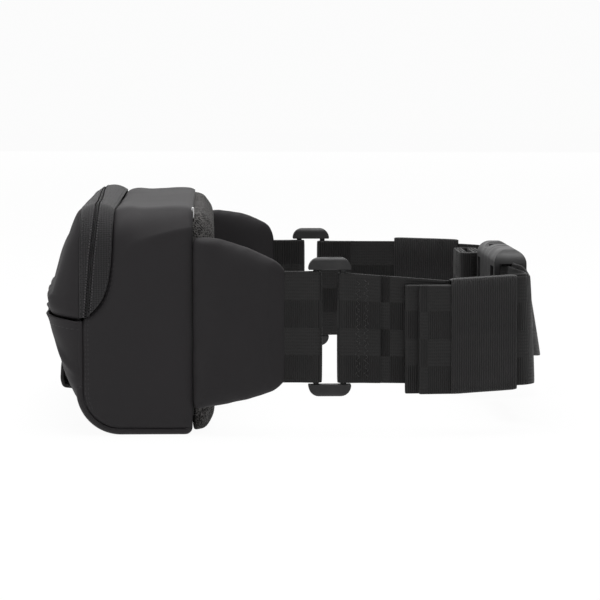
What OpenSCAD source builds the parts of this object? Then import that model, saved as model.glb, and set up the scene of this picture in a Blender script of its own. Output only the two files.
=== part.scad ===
// Waist pack with padded wings and a wide webbing belt.
// Millimetres, +Z up. The wearer stands on the +Y side and the pack's front faces -Y, so "right" is the
// +X side as seen from the front. The origin is the middle of the flat base the pack rests on.

/* [Pack] */
// Width across the two side panels
pack_w = 226; // [212:2:240]
// Height from the base to the top panel
pack_h = 103; // [100:1:106]
// Depth from the back seam to the lower front wall
pack_d = 52; // [48:1:56]
// Thickness of the laminated panels
wall_t = 4; // [3:0.5:4.5]
// Radius of the two upper shoulders
shoulder_r = 16; // [13:1:18]
// Radius of the curved toe between base and front
toe_r = 20; // [17:1:23]

/* [Front flap] */
// Height of the hinge line that the front flap folds down on
hinge_z = 51.8; // [50:0.2:54]
// How far the flap's pouch stands out in front of the flap panel
pouch_d = 16; // [12:1:20]
// Thickness of the flap panel
flap_t = 3; // [2.5:0.5:3.5]

/* [Back panel] */
// Thickness of the back panel, mesh included
back_t = 8; // [6:1:10]
// Thickness of the spacer mesh over the foam
mesh_t = 1.2; // [0.8:0.2:1.6]

/* [Wings] */
// Length of each padded wing behind the back seam
wing_l = 42.5; // [38:0.5:46]
// Thickness of each wing
wing_t = 8; // [6:0.5:8]

/* [Zipper] */
// Thickness of the zipper tape
tape_t = 1.5; // [1.2:0.1:1.8]
// Width of one row of coil
coil_w = 2.5; // [2:0.1:2.8]
// Gap between the two rows that the slider's post runs in
zip_gap = 0.8; // [0.7:0.1:1]

/* [Webbing] */
// Width of the webbing
web_w = 50; // [48:0.5:50]
// Thickness of the webbing
web_t = 1.3; // [1.1:0.1:1.5]
// Angle that each side of the belt leans inwards
side_tilt = 4; // [2:0.5:5]

/* [Rings] */
// Diameter of a ring's two bars
ring_bar_d = 2.6; // [2.4:0.1:3]
// Distance between the two bars' axes
ring_pitch = 12.2; // [11.5:0.1:13.5]
// Height of each rounded end cap
cap_h = 5.6; // [5:0.2:6.4]
// Thickness of each end cap
cap_t = 4.6; // [4:0.2:5.4]

/* [Buckle] */
// Width of the buckle, across the webbing
buckle_w = 64; // [62:1:68]
// Thickness of the buckle
buckle_t = 15; // [14:0.5:16]
// Diameter of the bar the webbing turns around
buckle_bar_d = 4; // [3.4:0.2:4.4]

/* [Keepers] */
// Length of the elastic keepers along the belt
keeper_l = 30; // [26:1:32]
// Thickness of the elastic
keeper_t = 0.9; // [0.7:0.1:1.1]

/* [Hidden] */
$fn = 64;
fit = 0.3;          // running clearance around everything that turns or slides
joint_gap = 0.5;    // gap along the edges where the flap leaves the pack
lap = 0.05;         // overlap where two stretches of one strip meet

// --- pack, side view (Y, Z) ---
seam_y = 17;                          // back seam, where panels, wings and back panel meet
front_y = seam_y - pack_d;            // lower front wall
back_y = seam_y + back_t;             // wearer's side of the back panel
half_w = pack_w / 2;
hem_r = 6;                            // radius of the lower edges, seen from the front
seam_in = 3.2;                        // how far the side panel's seam lies inside the outline
heel_r = seam_in;                     // rounding between base and back seam
lining_t = 1;
toe_top = toe_r + 2;                  // where the base panel ends and the front wall starts
wall_top = hinge_z - 0.5;             // upper edge of the fixed front

// --- zipper hoop ---
split_y = front_y + 6.5;              // centre line of the zipper
flap_back_y = front_y + flap_t;       // back face of the flap panel
// Rear edge of the zipper tape on each side: upright above, then running down to a point at the front
zip_seam = [[-17, pack_h + 1], [-18.4, 98.4], [-19.6, 80.4], [-20.5, 67.9], [-23.2, 61.6], [-28, 55],
            [front_y + seam_in, hinge_z + 0.5]];
zip_low = zip_seam[len(zip_seam) - 1];
top_seam_y = -18;                     // rear edge of the tape on top

// --- flap, pocket and lash loops ---
belly_r = 1500;                       // radius of the front's outward curve, seen from above
belly_y = front_y + belly_r;          // and its axis
fold_slope = 0.296;                   // rise of the fold between pouch and pocket towards the front
pouch_y = front_y - pouch_d;          // foremost point of the pouch
pouch_half_w = half_w - 6;
pouch_top = 101;
pocket_half_w = half_w - 9;
pocket_t = 1.6;
plan_r = 12;                          // rounding of pouch and pocket, seen from above
behind = 6;                           // how far pouch and pocket are drawn into the wall before it cuts them
pocket_out = 14.9;                    // how far its rim stands out
// The pocket's front from below the rim down to the toe: (how far it stands out, height)
pocket_face = [[13.8, 51.3], [11.4, 44.6], [9.3, 39.5], [7.2, 33], [4.4, 25], [2.2, 18.6], [-0.6, 14]];
loop_w = 22;
loop_x = 62;                          // nearer edge of each loop
loop_top = 33.5;
// Side view of a loop, outside and inside: (distance in front of the lower front, height)
loop_out = [[5, loop_top], [9.4, 29], [9.4, 18.3], [8.4, 17.3], [-3, 17.3], [-1, loop_top]];
loop_in = [[5.6, 30.6], [7.9, 28.2], [7.9, 18.8], [-3, 18.8], [-1, 30.6]];

// --- back panel and seam ---
pad_w = pack_w - 14;
pad_z = 1.5;
pad_h = pack_h - 5;
pad_r = 14;
binding_t = 0.8;
binding_w = 2.4;

// --- wings, straps and rings ---
wing_x = half_w - 1.5;                // middle of each wing's thickness
wing_end_y = seam_y + wing_l;
eye_bar_r = ring_bar_d / 2;
neck_l = 12.9;                        // from a bar's axis to where the two layers lie flat together
ring_x = wing_x;
bar_in_y = wing_end_y + neck_l;       // bar on the pack's side
bar_out_y = bar_in_y + ring_pitch;    // bar on the belt's side
ring_y = (bar_in_y + bar_out_y) / 2;
ring_w = ring_pitch + 7;
slot_h = web_w + 1.4;
slot_z = 22.7;                        // lower end of the rings' slot
strap_z = slot_z + 0.7;
belt_z = slot_z + 0.2;
belt_mid_z = belt_z + web_w / 2;

// --- belt, plan view (X, Y) ---
layer = web_t + 0.2;                  // pitch of webbing layers that lie on each other
sewn_l = 17;                          // length of the end sewn back behind each ring
end_y = bar_out_y + 79.5;             // axis of the two buckle bars
right_y = end_y + 4.7;                // outer face of the right run where it turns the corner
corner_r = 8;                         // outer radius of the right corner
corner_y = right_y - corner_r;
side_l = (corner_y + corner_r * sin(side_tilt) - bar_out_y) / cos(side_tilt);
corner_x = ring_x - side_l * sin(side_tilt) - corner_r * cos(side_tilt);
bow_r = 30;                           // outer radius of the left corner
bend_r = 14;                          // radius of the S-bend into the socket
bow_y = end_y + 19.4;                 // outer face of the left run where it bows out
bow_corner_y = bow_y - bow_r;
bow_side_l = (bow_corner_y + bow_r * sin(side_tilt) - bar_out_y) / cos(side_tilt);
bow_x = ring_x - bow_side_l * sin(side_tilt) - bow_r * cos(side_tilt);
bundle_y0 = 29;                       // folded surplus, measured along the right side
bundle_y1 = side_l - 2;
bundle_layers = 4;
bundle_drop = 1.2;
roll_turns = 3;
roll_r = 5;
roll_y = end_y - 9.5;                 // middle of the rolled surplus on the left
roll_x0 = 21;
roll_x1 = 53;

// --- buckle, plan view (along the belt, across the belt) ---
socket_end = -8;
socket_mouth = 37;
plug_face = socket_mouth + fit;
plug_end = 72;
socket_bar = 2;
plug_bar = 60;
buckle_half = buckle_w / 2;
shell_r = 6.2;                        // rounding of the long edges
core_half = 4.6;                      // half height of the prong chamber
chamber_half = buckle_half - 4.5;
window_u0 = 9.5;
window_u1 = 24;
scallop_r = 22;                       // hollow in each long edge that bares the buttons
scallop_d = 2.4;
dish_u = 17;                          // thumb dish in each broad face of the socket
dish_r = 75;
dish_d = 0.9;
grip_u = 41;                          // grooves across each broad face of the plug
grip_w = 1.2;
grip_l = 34;
grip_d = 0.6;
grip_count = 3;
prong_u = 46;                         // root of each prong
prong_v = 17;
prong_t = 6.4;
knuckle_r = 3;
strap_half = web_w / 2 + 0.6;

// --- S-bend of the right run, from the corner down to the plug ---
swell_x = corner_x - 1;
swell_end = plug_bar + neck_l + 0.5;
swell_drop = right_y - end_y;
swell_r = (pow(swell_x - swell_end, 2) + pow(swell_drop, 2)) / (4 * swell_drop);

// --- keepers, seen along the belt ---
right_stack = 0.15 + (bundle_layers - 1) * layer + web_t;
right_keeper_y = side_l - keeper_l + 1;
left_keeper_y = bow_side_l - keeper_l - 3;

// --- zipper slider on the left leg ---
slider_z = 65.2;
slider_l = 9;
slider_w = 7;
plate_t = 1.4;
slider_out = half_w + 0.4;
slider_in = half_w - 2 * tape_t - 0.4;
pull_knuckle_d = 2.4;
pull_pin_x = slider_out + plate_t + pull_knuckle_d / 2 + fit;
pull_l = 24;

// ---------------------------------------------------------------- drawing helpers

// Extrudes a side view (Y, Z) across the pack, centred on X.
module across(w) rotate([90, 0, 90]) translate([0, 0, -w / 2]) linear_extrude(w) children();

// Extrudes a front view (X, Z) from y0 to y1.
module along(y0, y1) translate([0, y1, 0]) rotate([90, 0, 0]) linear_extrude(y1 - y0) children();

// Extrudes a plan view (X, Y) from z0 to z1.
module upright(z0, z1) translate([0, 0, z0]) linear_extrude(z1 - z0) children();

module mirrored() {
    children();
    mirror([1, 0]) children();
}

// What a rounded corner of radius r takes away, for a corner that points to +X and +Y.
module corner_notch(r) difference() {
    square(r + 1);
    circle(r);
}

// Rectangle standing on the axis, with its own radius for the upper and the lower corners.
module rounded_panel(w, h, r_top, r_bot) difference() {
    translate([-w / 2, 0]) square([w, h]);
    mirrored() translate([w / 2 - r_top, h - r_top]) corner_notch(r_top);
    mirrored() translate([w / 2 - r_bot, r_bot]) mirror([0, 1]) corner_notch(r_bot);
}

// Rectangle whose two corners on the -Y side are rounded, for the plan of pouch and pocket.
module plan_outline(half, y_front, y_back, r) difference() {
    translate([-half, y_front]) square([2 * half, y_back - y_front]);
    mirrored() translate([half - r, y_front + r]) mirror([0, 1]) corner_notch(r);
}

// Part of a ring between two angles less than 180 degrees apart.
module arc_band(r_in, r_out, a0, a1) intersection() {
    difference() {
        circle(r_out);
        circle(r_in);
    }
    step = (a1 - a0) / 3;
    polygon(concat([[0, 0]], [for (k = [0:3]) 4 * r_out * [cos(a0 + k * step), sin(a0 + k * step)]]));
}

// ---------------------------------------------------------------- pack shell

// Outline of the pack seen from the side, moved inwards by d; rear says where it ends at the back.
module side_outline(d, rear = seam_y) difference() {
    translate([front_y + d, d]) square([rear - front_y - d, pack_h - 2 * d]);
    translate([front_y + toe_r, toe_r]) rotate(180) corner_notch(toe_r - d);
    if (d == 0) translate([rear - heel_r, heel_r]) mirror([0, 1]) corner_notch(heel_r);
}

module front_outline(d)
    translate([0, d]) rounded_panel(pack_w - 2 * d, pack_h - 2 * d, shoulder_r - d, max(hem_r - d, 0.5));

module pack_form(d = 0, rear = seam_y) intersection() {
    across(pack_w) side_outline(d, rear);
    along(front_y - 1, seam_y + 1) front_outline(d);
}

// The pack's wall alone, open at front and back.
module pack_tube() difference() {
    pack_form();
    along(front_y - 2, seam_y + 2) front_outline(wall_t);
}

// Everything behind the zipper, in side view, as far forward as the front seam.
module behind_zip() polygon(concat([[seam_y, 0], [seam_y, pack_h + 1]], zip_seam,
                                   [[zip_low[0], hinge_z - 2], [front_y, hinge_z - 2], [front_y, 0]]));

// The zipper's band in side view: in front of its seam and above the hinge line.
module zip_band(y0, y1, lift) intersection() {
    translate([y0, hinge_z]) square([y1 - y0, pack_h]);
    polygon(concat([[front_y, pack_h + 1]], [for (p = zip_seam) p + [0, lift]], [[front_y, zip_low[1] + lift]]));
}

module side_panel() color([0.16, 0.155, 0.16]) intersection() {
    pack_tube();
    translate([half_w - shoulder_r, 0, 0]) rotate([90, 0, 90]) linear_extrude(shoulder_r + 1) intersection() {
        side_outline(seam_in);
        behind_zip();
    }
    translate([0, -100, 0]) cube([pack_w, 200, pack_h + 1]);
}

module side_panel_right() side_panel();
module side_panel_left() mirror([1, 0, 0]) side_panel();

module top_panel() color([0.2, 0.195, 0.2]) intersection() {
    pack_tube();
    translate([shoulder_r - half_w, top_seam_y, pack_h / 2]) cube([pack_w - 2 * shoulder_r, 100, pack_h]);
}

// Base and lower front are one wrapped wall, joined where the toe becomes upright.
module base_wrap() difference() {
    pack_form();
    across(pack_w + 2) side_outline(seam_in, seam_y + 1);
}

module bottom_panel() color([0.14, 0.135, 0.14]) intersection() {
    base_wrap();
    translate([-half_w, front_y - 1, 0]) cube([pack_w, pack_d + 1, toe_top]);
}

module front_wall() color([0.15, 0.145, 0.15]) intersection() {
    base_wrap();
    translate([-half_w, front_y - 1, toe_top]) cube([pack_w, 12, wall_top - toe_top]);
}

module lining() color([0.3, 0.3, 0.31]) difference() {
    pack_form(wall_t);
    pack_form(wall_t + lining_t, seam_y - lining_t);
    translate([-half_w, front_y - 1, wall_top]) cube([pack_w, split_y + 5 - front_y + 1, pack_h]);
}

// ---------------------------------------------------------------- front pocket and lash loops

// Height of the fold at y, where the pouch's floor lies on the pocket's rim.
function fold_z(y) = wall_top + fold_slope * (front_y - y);

// Turns a side view into a wall that is bowed outwards in plan; it is true to size in the middle.
module bellied() {
    turn = 2 * asin((half_w + 2) / belly_r);
    translate([0, belly_y]) rotate(-90 - turn / 2) rotate_extrude(angle = turn, $fn = 720)
        translate([belly_y, 0]) mirror([1, 0]) children();
}

// Side view of the pocket, shrunk by d; a shrunk one is left tall so that it opens the rim.
module pocket_side(d) {
    rim_y = front_y - pocket_out;
    lift = d > 0 ? 2 : 0;
    polygon(concat([[front_y + behind, 14 + 2 * d], [front_y + behind, fold_z(front_y + behind) + lift],
                    [rim_y + d, fold_z(rim_y) + lift]],
                   [for (p = pocket_face) [front_y - p[0] + d, p[1] + (p[1] < 20 ? 2 * d : 0)]]));
}

module pocket_form(d = 0) intersection() {
    bellied() pocket_side(d);
    upright(0, pack_h) plan_outline(pocket_half_w - d, front_y - 16, front_y + 2 * behind, plan_r - d);
}

module lower_pocket() color([0.15, 0.145, 0.15]) difference() {
    pocket_form();
    pocket_form(pocket_t);
    pack_form();
}

module lash_loop() color([0.2, 0.2, 0.2]) difference() {
    translate([loop_x, 0, 0]) rotate([90, 0, 90]) linear_extrude(loop_w) difference() {
        polygon([for (p = loop_out) [front_y - p[0], p[1]]]);
        polygon([for (p = loop_in) [front_y - p[0], p[1]]]);
    }
    bellied() pocket_side(0);
    pack_form();
}

module lash_loop_right() lash_loop();
module lash_loop_left() mirror([1, 0, 0]) lash_loop();

module seam_binding() color([0.12, 0.12, 0.12]) difference() {
    along(seam_y - binding_w, seam_y) intersection() {
        front_outline(-binding_t);
        translate([-pack_w, hem_r + 2]) square([2 * pack_w, pack_h]);
    }
    along(seam_y - binding_w - 1, seam_y + 1) front_outline(0);
}

// ---------------------------------------------------------------- back panel and wings

module back_pad() color([0.25, 0.25, 0.26])
    along(seam_y, back_y - mesh_t) translate([0, pad_z]) rounded_panel(pad_w, pad_h, pad_r, pad_r);

module back_mesh() color([0.35, 0.35, 0.35]) difference() {
    along(seam_y, back_y) translate([0, pad_z - mesh_t])
        rounded_panel(pad_w + 2 * mesh_t, pad_h + 2 * mesh_t, pad_r + mesh_t, pad_r + mesh_t);
    along(seam_y - 1, back_y - mesh_t) translate([0, pad_z]) rounded_panel(pad_w, pad_h, pad_r, pad_r);
}

// Side view of a wing: broad at the back seam, tapering to the webbing's width.
module wing_outline() {
    y1 = wing_end_y;
    polygon([[seam_y, 89.5], [seam_y + 0.3 * wing_l, 88.2], [seam_y + 0.6 * wing_l, 84],
             [y1 - 4.2, 78], [y1 - 0.5, 74], [y1, 70],
             [y1, 28], [y1 - 0.5, 24], [y1 - 6, 19.2], [seam_y + 0.6 * wing_l, 15.7],
             [seam_y + 0.2 * wing_l, 12.3], [seam_y, 11.5]]);
}

module wing() color([0.17, 0.165, 0.17])
    translate([wing_x - wing_t / 2, 0, 0]) rotate([90, 0, 90]) linear_extrude(wing_t) wing_outline();

module wing_right() wing();
module wing_left() mirror([1, 0, 0]) wing();

// ---------------------------------------------------------------- webbing

// Eye of a webbing loop: bar at the origin, both layers closing on each other towards +Y.
module web_eye(bar_r) difference() {
    r_in = bar_r + fit;
    r_out = r_in + web_t;
    union() {
        circle(r_out);
        polygon([[-r_out, 0], [r_out, 0], [web_t, neck_l], [-web_t, neck_l]]);
    }
    circle(r_in);
    polygon([[-r_in, 0], [r_in, 0], [0, neck_l - 3]]);
}

// Strip of webbing that follows an S-bend from the origin towards -X, dropping by `drop`. A strip that
// lies `out` outside another shares the centres of its two arcs.
function bend_angle(r, drop) = acos(1 - drop / (2 * r));
function bend_length(r, drop) = 2 * r * sin(bend_angle(r, drop));

module s_bend(r, drop, out = 0) {
    a = bend_angle(r, drop);
    h = web_t / 2;
    translate([0, -r]) arc_band(r + out - h, r + out + h, 90 - 0.3, 90 + a + 0.3);
    translate([-2 * r * sin(a), r - drop]) arc_band(r - out - h, r - out + h, -90 - 0.3, a - 90 + 0.3);
}

// Frame of the belt's right side: origin on the ring's outer bar, +Y along the belt, +X outwards.
module side_frame() translate([ring_x, bar_out_y]) rotate(side_tilt) children();

module wing_strap() color([0.19, 0.19, 0.19])
    upright(strap_z, strap_z + web_w) translate([ring_x, bar_in_y]) rotate(180) web_eye(eye_bar_r);

module wing_strap_right() wing_strap();
module wing_strap_left() mirror([1, 0, 0]) wing_strap();

// One straight layer of a side run, whose inner face lies x0 outside the main layer's outer face.
module side_layer(x0, from_y, to_y) translate([x0, from_y]) square([web_t, to_y - from_y]);

module belt_right() color([0.18, 0.18, 0.18]) upright(belt_z, belt_z + web_w) {
    side_frame() {
        web_eye(eye_bar_r);
        side_layer(0, neck_l - lap, sewn_l);
        side_layer(-web_t, neck_l - lap, side_l + lap);
    }
    translate([corner_x, corner_y]) arc_band(corner_r - web_t, corner_r, side_tilt - 0.3, 90.3);
    swell(right_y - web_t) {
        square([corner_x - swell_x + 2 * lap, web_t]);
        s_bend(swell_r, swell_drop);
    }
    translate([plug_bar + neck_l - lap, end_y - web_t]) square([swell_end - plug_bar - neck_l + 2 * lap, web_t]);
    translate([plug_bar, end_y]) rotate(-90) web_eye(buckle_bar_d / 2);
}

// Places what runs along the corner's far side: a straight strip, then the S-bend down to the plug.
module swell(y) {
    translate([swell_x - lap, y]) children(0);
    translate([swell_x, right_y - web_t / 2]) children(1);
}

// The free end leaves the plug, runs back round the corner outside the belt and is folded into a bundle.
module belt_surplus_right() color([0.2, 0.2, 0.2]) upright(belt_z - bundle_drop, belt_z - bundle_drop + web_w) {
    gap = layer - web_t;
    translate([plug_bar + neck_l + lap, end_y + gap]) square([swell_end - plug_bar - neck_l, web_t]);
    swell(right_y + gap) {
        square([corner_x - swell_x + 2 * lap, web_t]);
        s_bend(swell_r, swell_drop, layer);
    }
    translate([corner_x, corner_y])
        arc_band(corner_r + gap, corner_r + gap + web_t, side_tilt - 0.3, 90.3);
    side_frame() {
        side_layer(gap, bundle_y0, side_l + lap);
        for (k = [1:bundle_layers - 1]) side_layer(gap + k * layer, bundle_y0, bundle_y1);
        for (k = [0:2:bundle_layers - 2]) fold_end(gap + k * layer, bundle_y0, 180);
        for (k = [1:2:bundle_layers - 2]) fold_end(gap + k * layer, bundle_y1, 0);
    }
}

// Half ring joining the layer at x0 with the next one out; turn is 180 where it closes the lower end.
module fold_end(x0, y, turn) {
    r_out = (layer + web_t) / 2;
    translate([x0 + r_out, y]) intersection() {
        difference() {
            circle(r_out);
            circle(r_out - web_t);
        }
        rotate(turn) translate([-10, -lap]) square([20, 20]);
    }
}

// The left half bows outwards before an S-bend takes it into the socket.
module belt_left() color([0.18, 0.18, 0.18]) mirror([1, 0, 0]) upright(belt_z, belt_z + web_w) {
    drop = bow_y - web_t - end_y;
    run_x = neck_l - socket_bar;
    side_frame() {
        web_eye(eye_bar_r);
        side_layer(0, neck_l - lap, sewn_l);
        side_layer(-web_t, neck_l - lap, bow_side_l + lap);
    }
    translate([bow_x, bow_corner_y]) arc_band(bow_r - web_t, bow_r, side_tilt - 0.3, 90.3);
    bend_x = run_x + bend_length(bend_r, drop);
    translate([bend_x - lap, bow_y - web_t]) square([bow_x - bend_x + 2 * lap, web_t]);
    translate([bend_x, bow_y - web_t / 2]) s_bend(bend_r, drop);
    translate([-socket_bar, end_y]) rotate(-90) web_eye(buckle_bar_d / 2);
}

// The left free end, wound flat on the inner side of the belt.
module belt_roll_left() color([0.2, 0.2, 0.2]) mirror([1, 0, 0]) upright(belt_z, belt_z + web_w) {
    lead_r = 4;
    lead_x = neck_l - socket_bar + lap;
    drop = end_y - web_t / 2 - roll_y - roll_r;
    translate([lead_x, end_y - web_t / 2]) mirror([1, 0]) s_bend(lead_r, drop);
    lead_end = lead_x + bend_length(lead_r, drop) - lap;
    translate([lead_end, roll_y + roll_r - web_t / 2]) square([roll_x1 - lead_end, web_t]);
    for (k = [0:roll_turns - 1]) {
        r = roll_r - k * layer;
        translate([roll_x1, roll_y]) rotate(-90) half_ring(r);
        translate([roll_x0, roll_y - r - web_t / 2]) square([roll_x1 - roll_x0, web_t]);
        if (k < roll_turns - 1) {
            translate([roll_x0, roll_y - layer / 2]) rotate(90) half_ring(r - layer / 2);
            translate([roll_x0, roll_y + r - layer - web_t / 2]) square([roll_x1 - roll_x0, web_t]);
        }
    }
}

// Half ring of webbing of mid radius r on the +Y side of the origin.
module half_ring(r) intersection() {
    difference() {
        circle(r + web_t / 2);
        circle(r - web_t / 2);
    }
    translate([-20, -lap]) square([40, 20]);
}

// ---------------------------------------------------------------- rings

module cap() intersection() {
    across(cap_t) rounded_panel(ring_w, cap_h, cap_h - 0.4, 0.5);
    along(-ring_w, ring_w) rounded_panel(cap_t, cap_h, cap_t / 2 - 0.1, 0.5);
}

module ring() color([0.12, 0.12, 0.12]) translate([ring_x, ring_y, slot_z]) {
    for (y = [-ring_pitch / 2, ring_pitch / 2])
        translate([0, y, -1]) cylinder(d = ring_bar_d, h = slot_h + 2);
    translate([0, 0, slot_h]) cap();
    mirror([0, 0, 1]) cap();
}

module ring_right() ring();
module ring_left() mirror([1, 0, 0]) ring();

// ---------------------------------------------------------------- side-release buckle

// Drawn flat, u along the belt and v across it, then stood on edge between the two belt ends.
module buckle_place() translate([0, end_y, belt_mid_z]) rotate([-90, 0, 0]) children();

module flat(t) translate([0, 0, -t / 2]) linear_extrude(t) children();

// Outer body between two stations, rounded along its long edges; r0 and r1 round its plan at each end.
module buckle_body(u0, u1, r0, r1) intersection() {
    rotate([90, 0, 90]) translate([0, 0, u0]) linear_extrude(u1 - u0)
        translate([0, -buckle_t / 2]) rounded_panel(buckle_w, buckle_t, shell_r, shell_r);
    flat(buckle_t + 2) translate([u0, 0]) rotate(-90) rounded_panel(buckle_w, u1 - u0, r1, r0);
}

// Slot the webbing loops through: open at the end, with a window over the bar on both broad faces.
module strap_bay(u_open, u_wall, u_win0, u_win1) {
    bay_half = buckle_t / 2 - 2.4;
    translate([min(u_open, u_wall), -strap_half, -bay_half])
        cube([abs(u_wall - u_open), 2 * strap_half, 2 * bay_half]);
    translate([u_win0, -strap_half + 1.5, -buckle_t]) cube([u_win1 - u_win0, 2 * strap_half - 3, 2 * buckle_t]);
}

module strap_bar(u) translate([u, 0, 0]) rotate([90, 0, 0])
    cylinder(d = buckle_bar_d, h = buckle_w - 6, center = true);

module buckle_socket() color([0.1, 0.1, 0.1]) buckle_place() {
    difference() {
        buckle_body(socket_end, socket_mouth, 7, 2);
        strap_bay(socket_end - 1, socket_bar + 5.5, socket_end + 4.5, socket_bar + 4.5);
        translate([window_u0 - 0.5, -chamber_half, -core_half])
            cube([socket_mouth - window_u0 + 2, 2 * chamber_half, 2 * core_half]);
        translate([window_u0, -buckle_w, -prong_t / 2 - 0.4])
            cube([window_u1 - window_u0, 2 * buckle_w, prong_t + 0.8]);
        for (v = [-1, 1]) translate([(window_u0 + window_u1) / 2, v * (buckle_half + scallop_r - scallop_d), 0])
            cylinder(r = scallop_r, h = 2 * buckle_t, center = true);
        for (w = [-1, 1]) translate([dish_u, 0, w * (buckle_t / 2 + dish_r - dish_d)]) sphere(dish_r);
    }
    strap_bar(socket_bar);
}

module buckle_plug() color([0.1, 0.1, 0.1]) buckle_place() {
    difference() {
        buckle_body(plug_face, plug_end, 2, 8);
        for (w = [-1, 1], k = [0:grip_count - 1])
            translate([grip_u + 2 * k * grip_w, 0, w * buckle_t / 2])
                cube([grip_w, grip_l, 2 * grip_d], center = true);
        strap_bay(plug_end + 1, plug_bar - 8, plug_bar - 6, plug_end - 4.5);
        for (v = [0, 1]) mirror([0, v, 0]) flat(prong_t + 0.8) {
            translate([prong_u, prong_v]) circle(knuckle_r + 0.2);
            polygon([[plug_face - 1, 12.2], [prong_u, prong_v - knuckle_r - 0.2],
                     [prong_u, prong_v + knuckle_r + 0.2], [plug_face - 1, 23.2]]);
        }
    }
    strap_bar(plug_bar);
    flat(2 * core_half - 2 * fit) polygon([[plug_face + 1, -6], [20, -5], [14, -2.5], [14, 2.5], [20, 5],
                                           [plug_face + 1, 6]]);
}

// Springy side arm: round root, tapering arm, and the barb whose outer face is the push button.
module prong() color([0.13, 0.13, 0.13]) {
    translate([prong_u, prong_v, 0]) cylinder(r = knuckle_r, h = prong_t, center = true);
    flat(prong_t) polygon([[prong_u, prong_v - 2.8], [38, 15.2], [26, 21.8], [15, 23.4], [12, 24.6], [12, 26.8],
                           [13.6, 28.6], [16.4, 30.2], [20, 30.9], [23.4, 30.6], [23.4, 26.2], [26.6, 25.2],
                           [38, 20.6], [prong_u, prong_v + 2.8]]);
}

module prong_upper() buckle_place() mirror([0, 1, 0]) prong();
module prong_lower() buckle_place() prong();

// ---------------------------------------------------------------- keepers

// Flat elastic sleeve around a stack of webbing that reaches x1 outside the main layer's outer face.
module keeper(x1, y0, z0) color([0.22, 0.22, 0.22])
    translate([ring_x, bar_out_y, 0]) rotate([0, 0, side_tilt]) along(y0, y0 + keeper_l) difference() {
        keeper_section(x1, z0, fit + keeper_t);
        keeper_section(x1, z0, fit);
    }

module keeper_section(x1, z0, d)
    translate([(x1 - web_t) / 2, z0 - d])
        rounded_panel(x1 + web_t + 2 * d, belt_z + web_w - z0 + 2 * d, d + 0.3, d + 0.3);

module keeper_right() keeper(right_stack, right_keeper_y, belt_z - bundle_drop);
module keeper_left() mirror([1, 0, 0]) keeper(web_t, left_keeper_y, belt_z);

// ---------------------------------------------------------------- front flap

// Side view of the pouch: a floor that follows the fold, a full lip, and a front that leans back to the top.
module pouch_outline() {
    d = pouch_d / 16;
    lip = fold_z(front_y - 13.6 * d) + 2 * joint_gap;
    polygon([[front_y + behind, fold_z(front_y + behind) + 2 * joint_gap], [front_y - 13.6 * d, lip],
             [front_y - 15.6 * d, lip + 1.1], [pouch_y, lip + 3], [front_y - 15.7 * d, 62],
             [front_y - 13.8 * d, 66], [front_y - 11.9 * d, 73.5], [front_y - 9.2 * d, 80.7],
             [front_y - 6.6 * d, 87], [front_y - 3.2 * d, 94], [front_y, pouch_top],
             [front_y + behind, pouch_top]]);
}

module flap_pouch() color([0.16, 0.155, 0.16]) intersection() {
    bellied() pouch_outline();
    upright(0, 2 * pack_h) plan_outline(pouch_half_w, pouch_y - 1, front_y, plan_r);
}

module flap_panel() color([0.15, 0.145, 0.15]) intersection() {
    pack_form();
    translate([-half_w, front_y, hinge_z + joint_gap + 0.3]) cube([pack_w, flap_t, pack_h]);
}

// Hoop of tape or coil: the layer between two insets of the front outline.
module zip_hoop(d0, d1, y0, y1, lift) intersection() {
    across(pack_w + 2) zip_band(y0, y1, lift);
    along(y0, y1) difference() {
        front_outline(d0);
        front_outline(d1);
    }
}

module zip_tape_flap() color([0.14, 0.14, 0.14])
    zip_hoop(0, tape_t, flap_back_y, split_y - zip_gap / 2, joint_gap);

module zip_tape_body() color([0.14, 0.14, 0.14]) intersection() {
    zip_hoop(0, tape_t, split_y + zip_gap / 2, top_seam_y + 1, 0);
    translate([-half_w, front_y, 0]) difference() {
        cube([pack_w, pack_d, pack_h]);
        translate([shoulder_r, top_seam_y - front_y, pack_h / 2]) cube([pack_w - 2 * shoulder_r, 9, pack_h]);
    }
}

module zip_coil_flap() color([0.1, 0.1, 0.1])
    zip_hoop(tape_t, 2 * tape_t, split_y - zip_gap / 2 - coil_w, split_y - zip_gap / 2, 3);

module zip_coil_body() color([0.1, 0.1, 0.1])
    zip_hoop(tape_t, 2 * tape_t, split_y + zip_gap / 2, split_y + zip_gap / 2 + coil_w, 5);

// Slider on the left leg, drawn on the right and mirrored: outer plate with a bail, post, and inner plate
// with a flange behind the pack's row of coil. It is open towards the flap, which leaves it sideways.
module zip_slider() color([0.08, 0.08, 0.08]) mirror([1, 0, 0]) translate([0, split_y, slider_z]) {
    flange_y = zip_gap / 2 + coil_w + fit;
    translate([slider_out, 0, 0]) rotate([90, 0, 90]) linear_extrude(plate_t)
        translate([0, -slider_l / 2]) rounded_panel(slider_w, slider_l, 2.5, 1.5);
    translate([slider_in - plate_t, 0, 0]) rotate([90, 0, 90]) linear_extrude(plate_t)
        translate([0, -slider_l / 2]) square([flange_y + plate_t / 2, slider_l]);
    translate([slider_in - plate_t, -2.8, 0]) rotate([90, 0, 90]) linear_extrude(plate_t)
        translate([0, -slider_l / 2 + 1]) square([3, slider_l - 2]);
    translate([slider_in - 0.1, -zip_gap / 4, -2]) cube([slider_out - slider_in + 0.2, zip_gap / 2, 4]);
    translate([slider_in - 0.1, flange_y, -slider_l / 2]) cube([tape_t, plate_t / 2, slider_l]);
    for (y = [-2.3, 1.5]) translate([slider_out + plate_t - 0.1, y, -1.2]) cube([2.4, 0.8, 2.4]);
    translate([pull_pin_x, 2.3, 0]) rotate([90, 0, 0]) cylinder(d = 1, h = 4.6);
}

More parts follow.
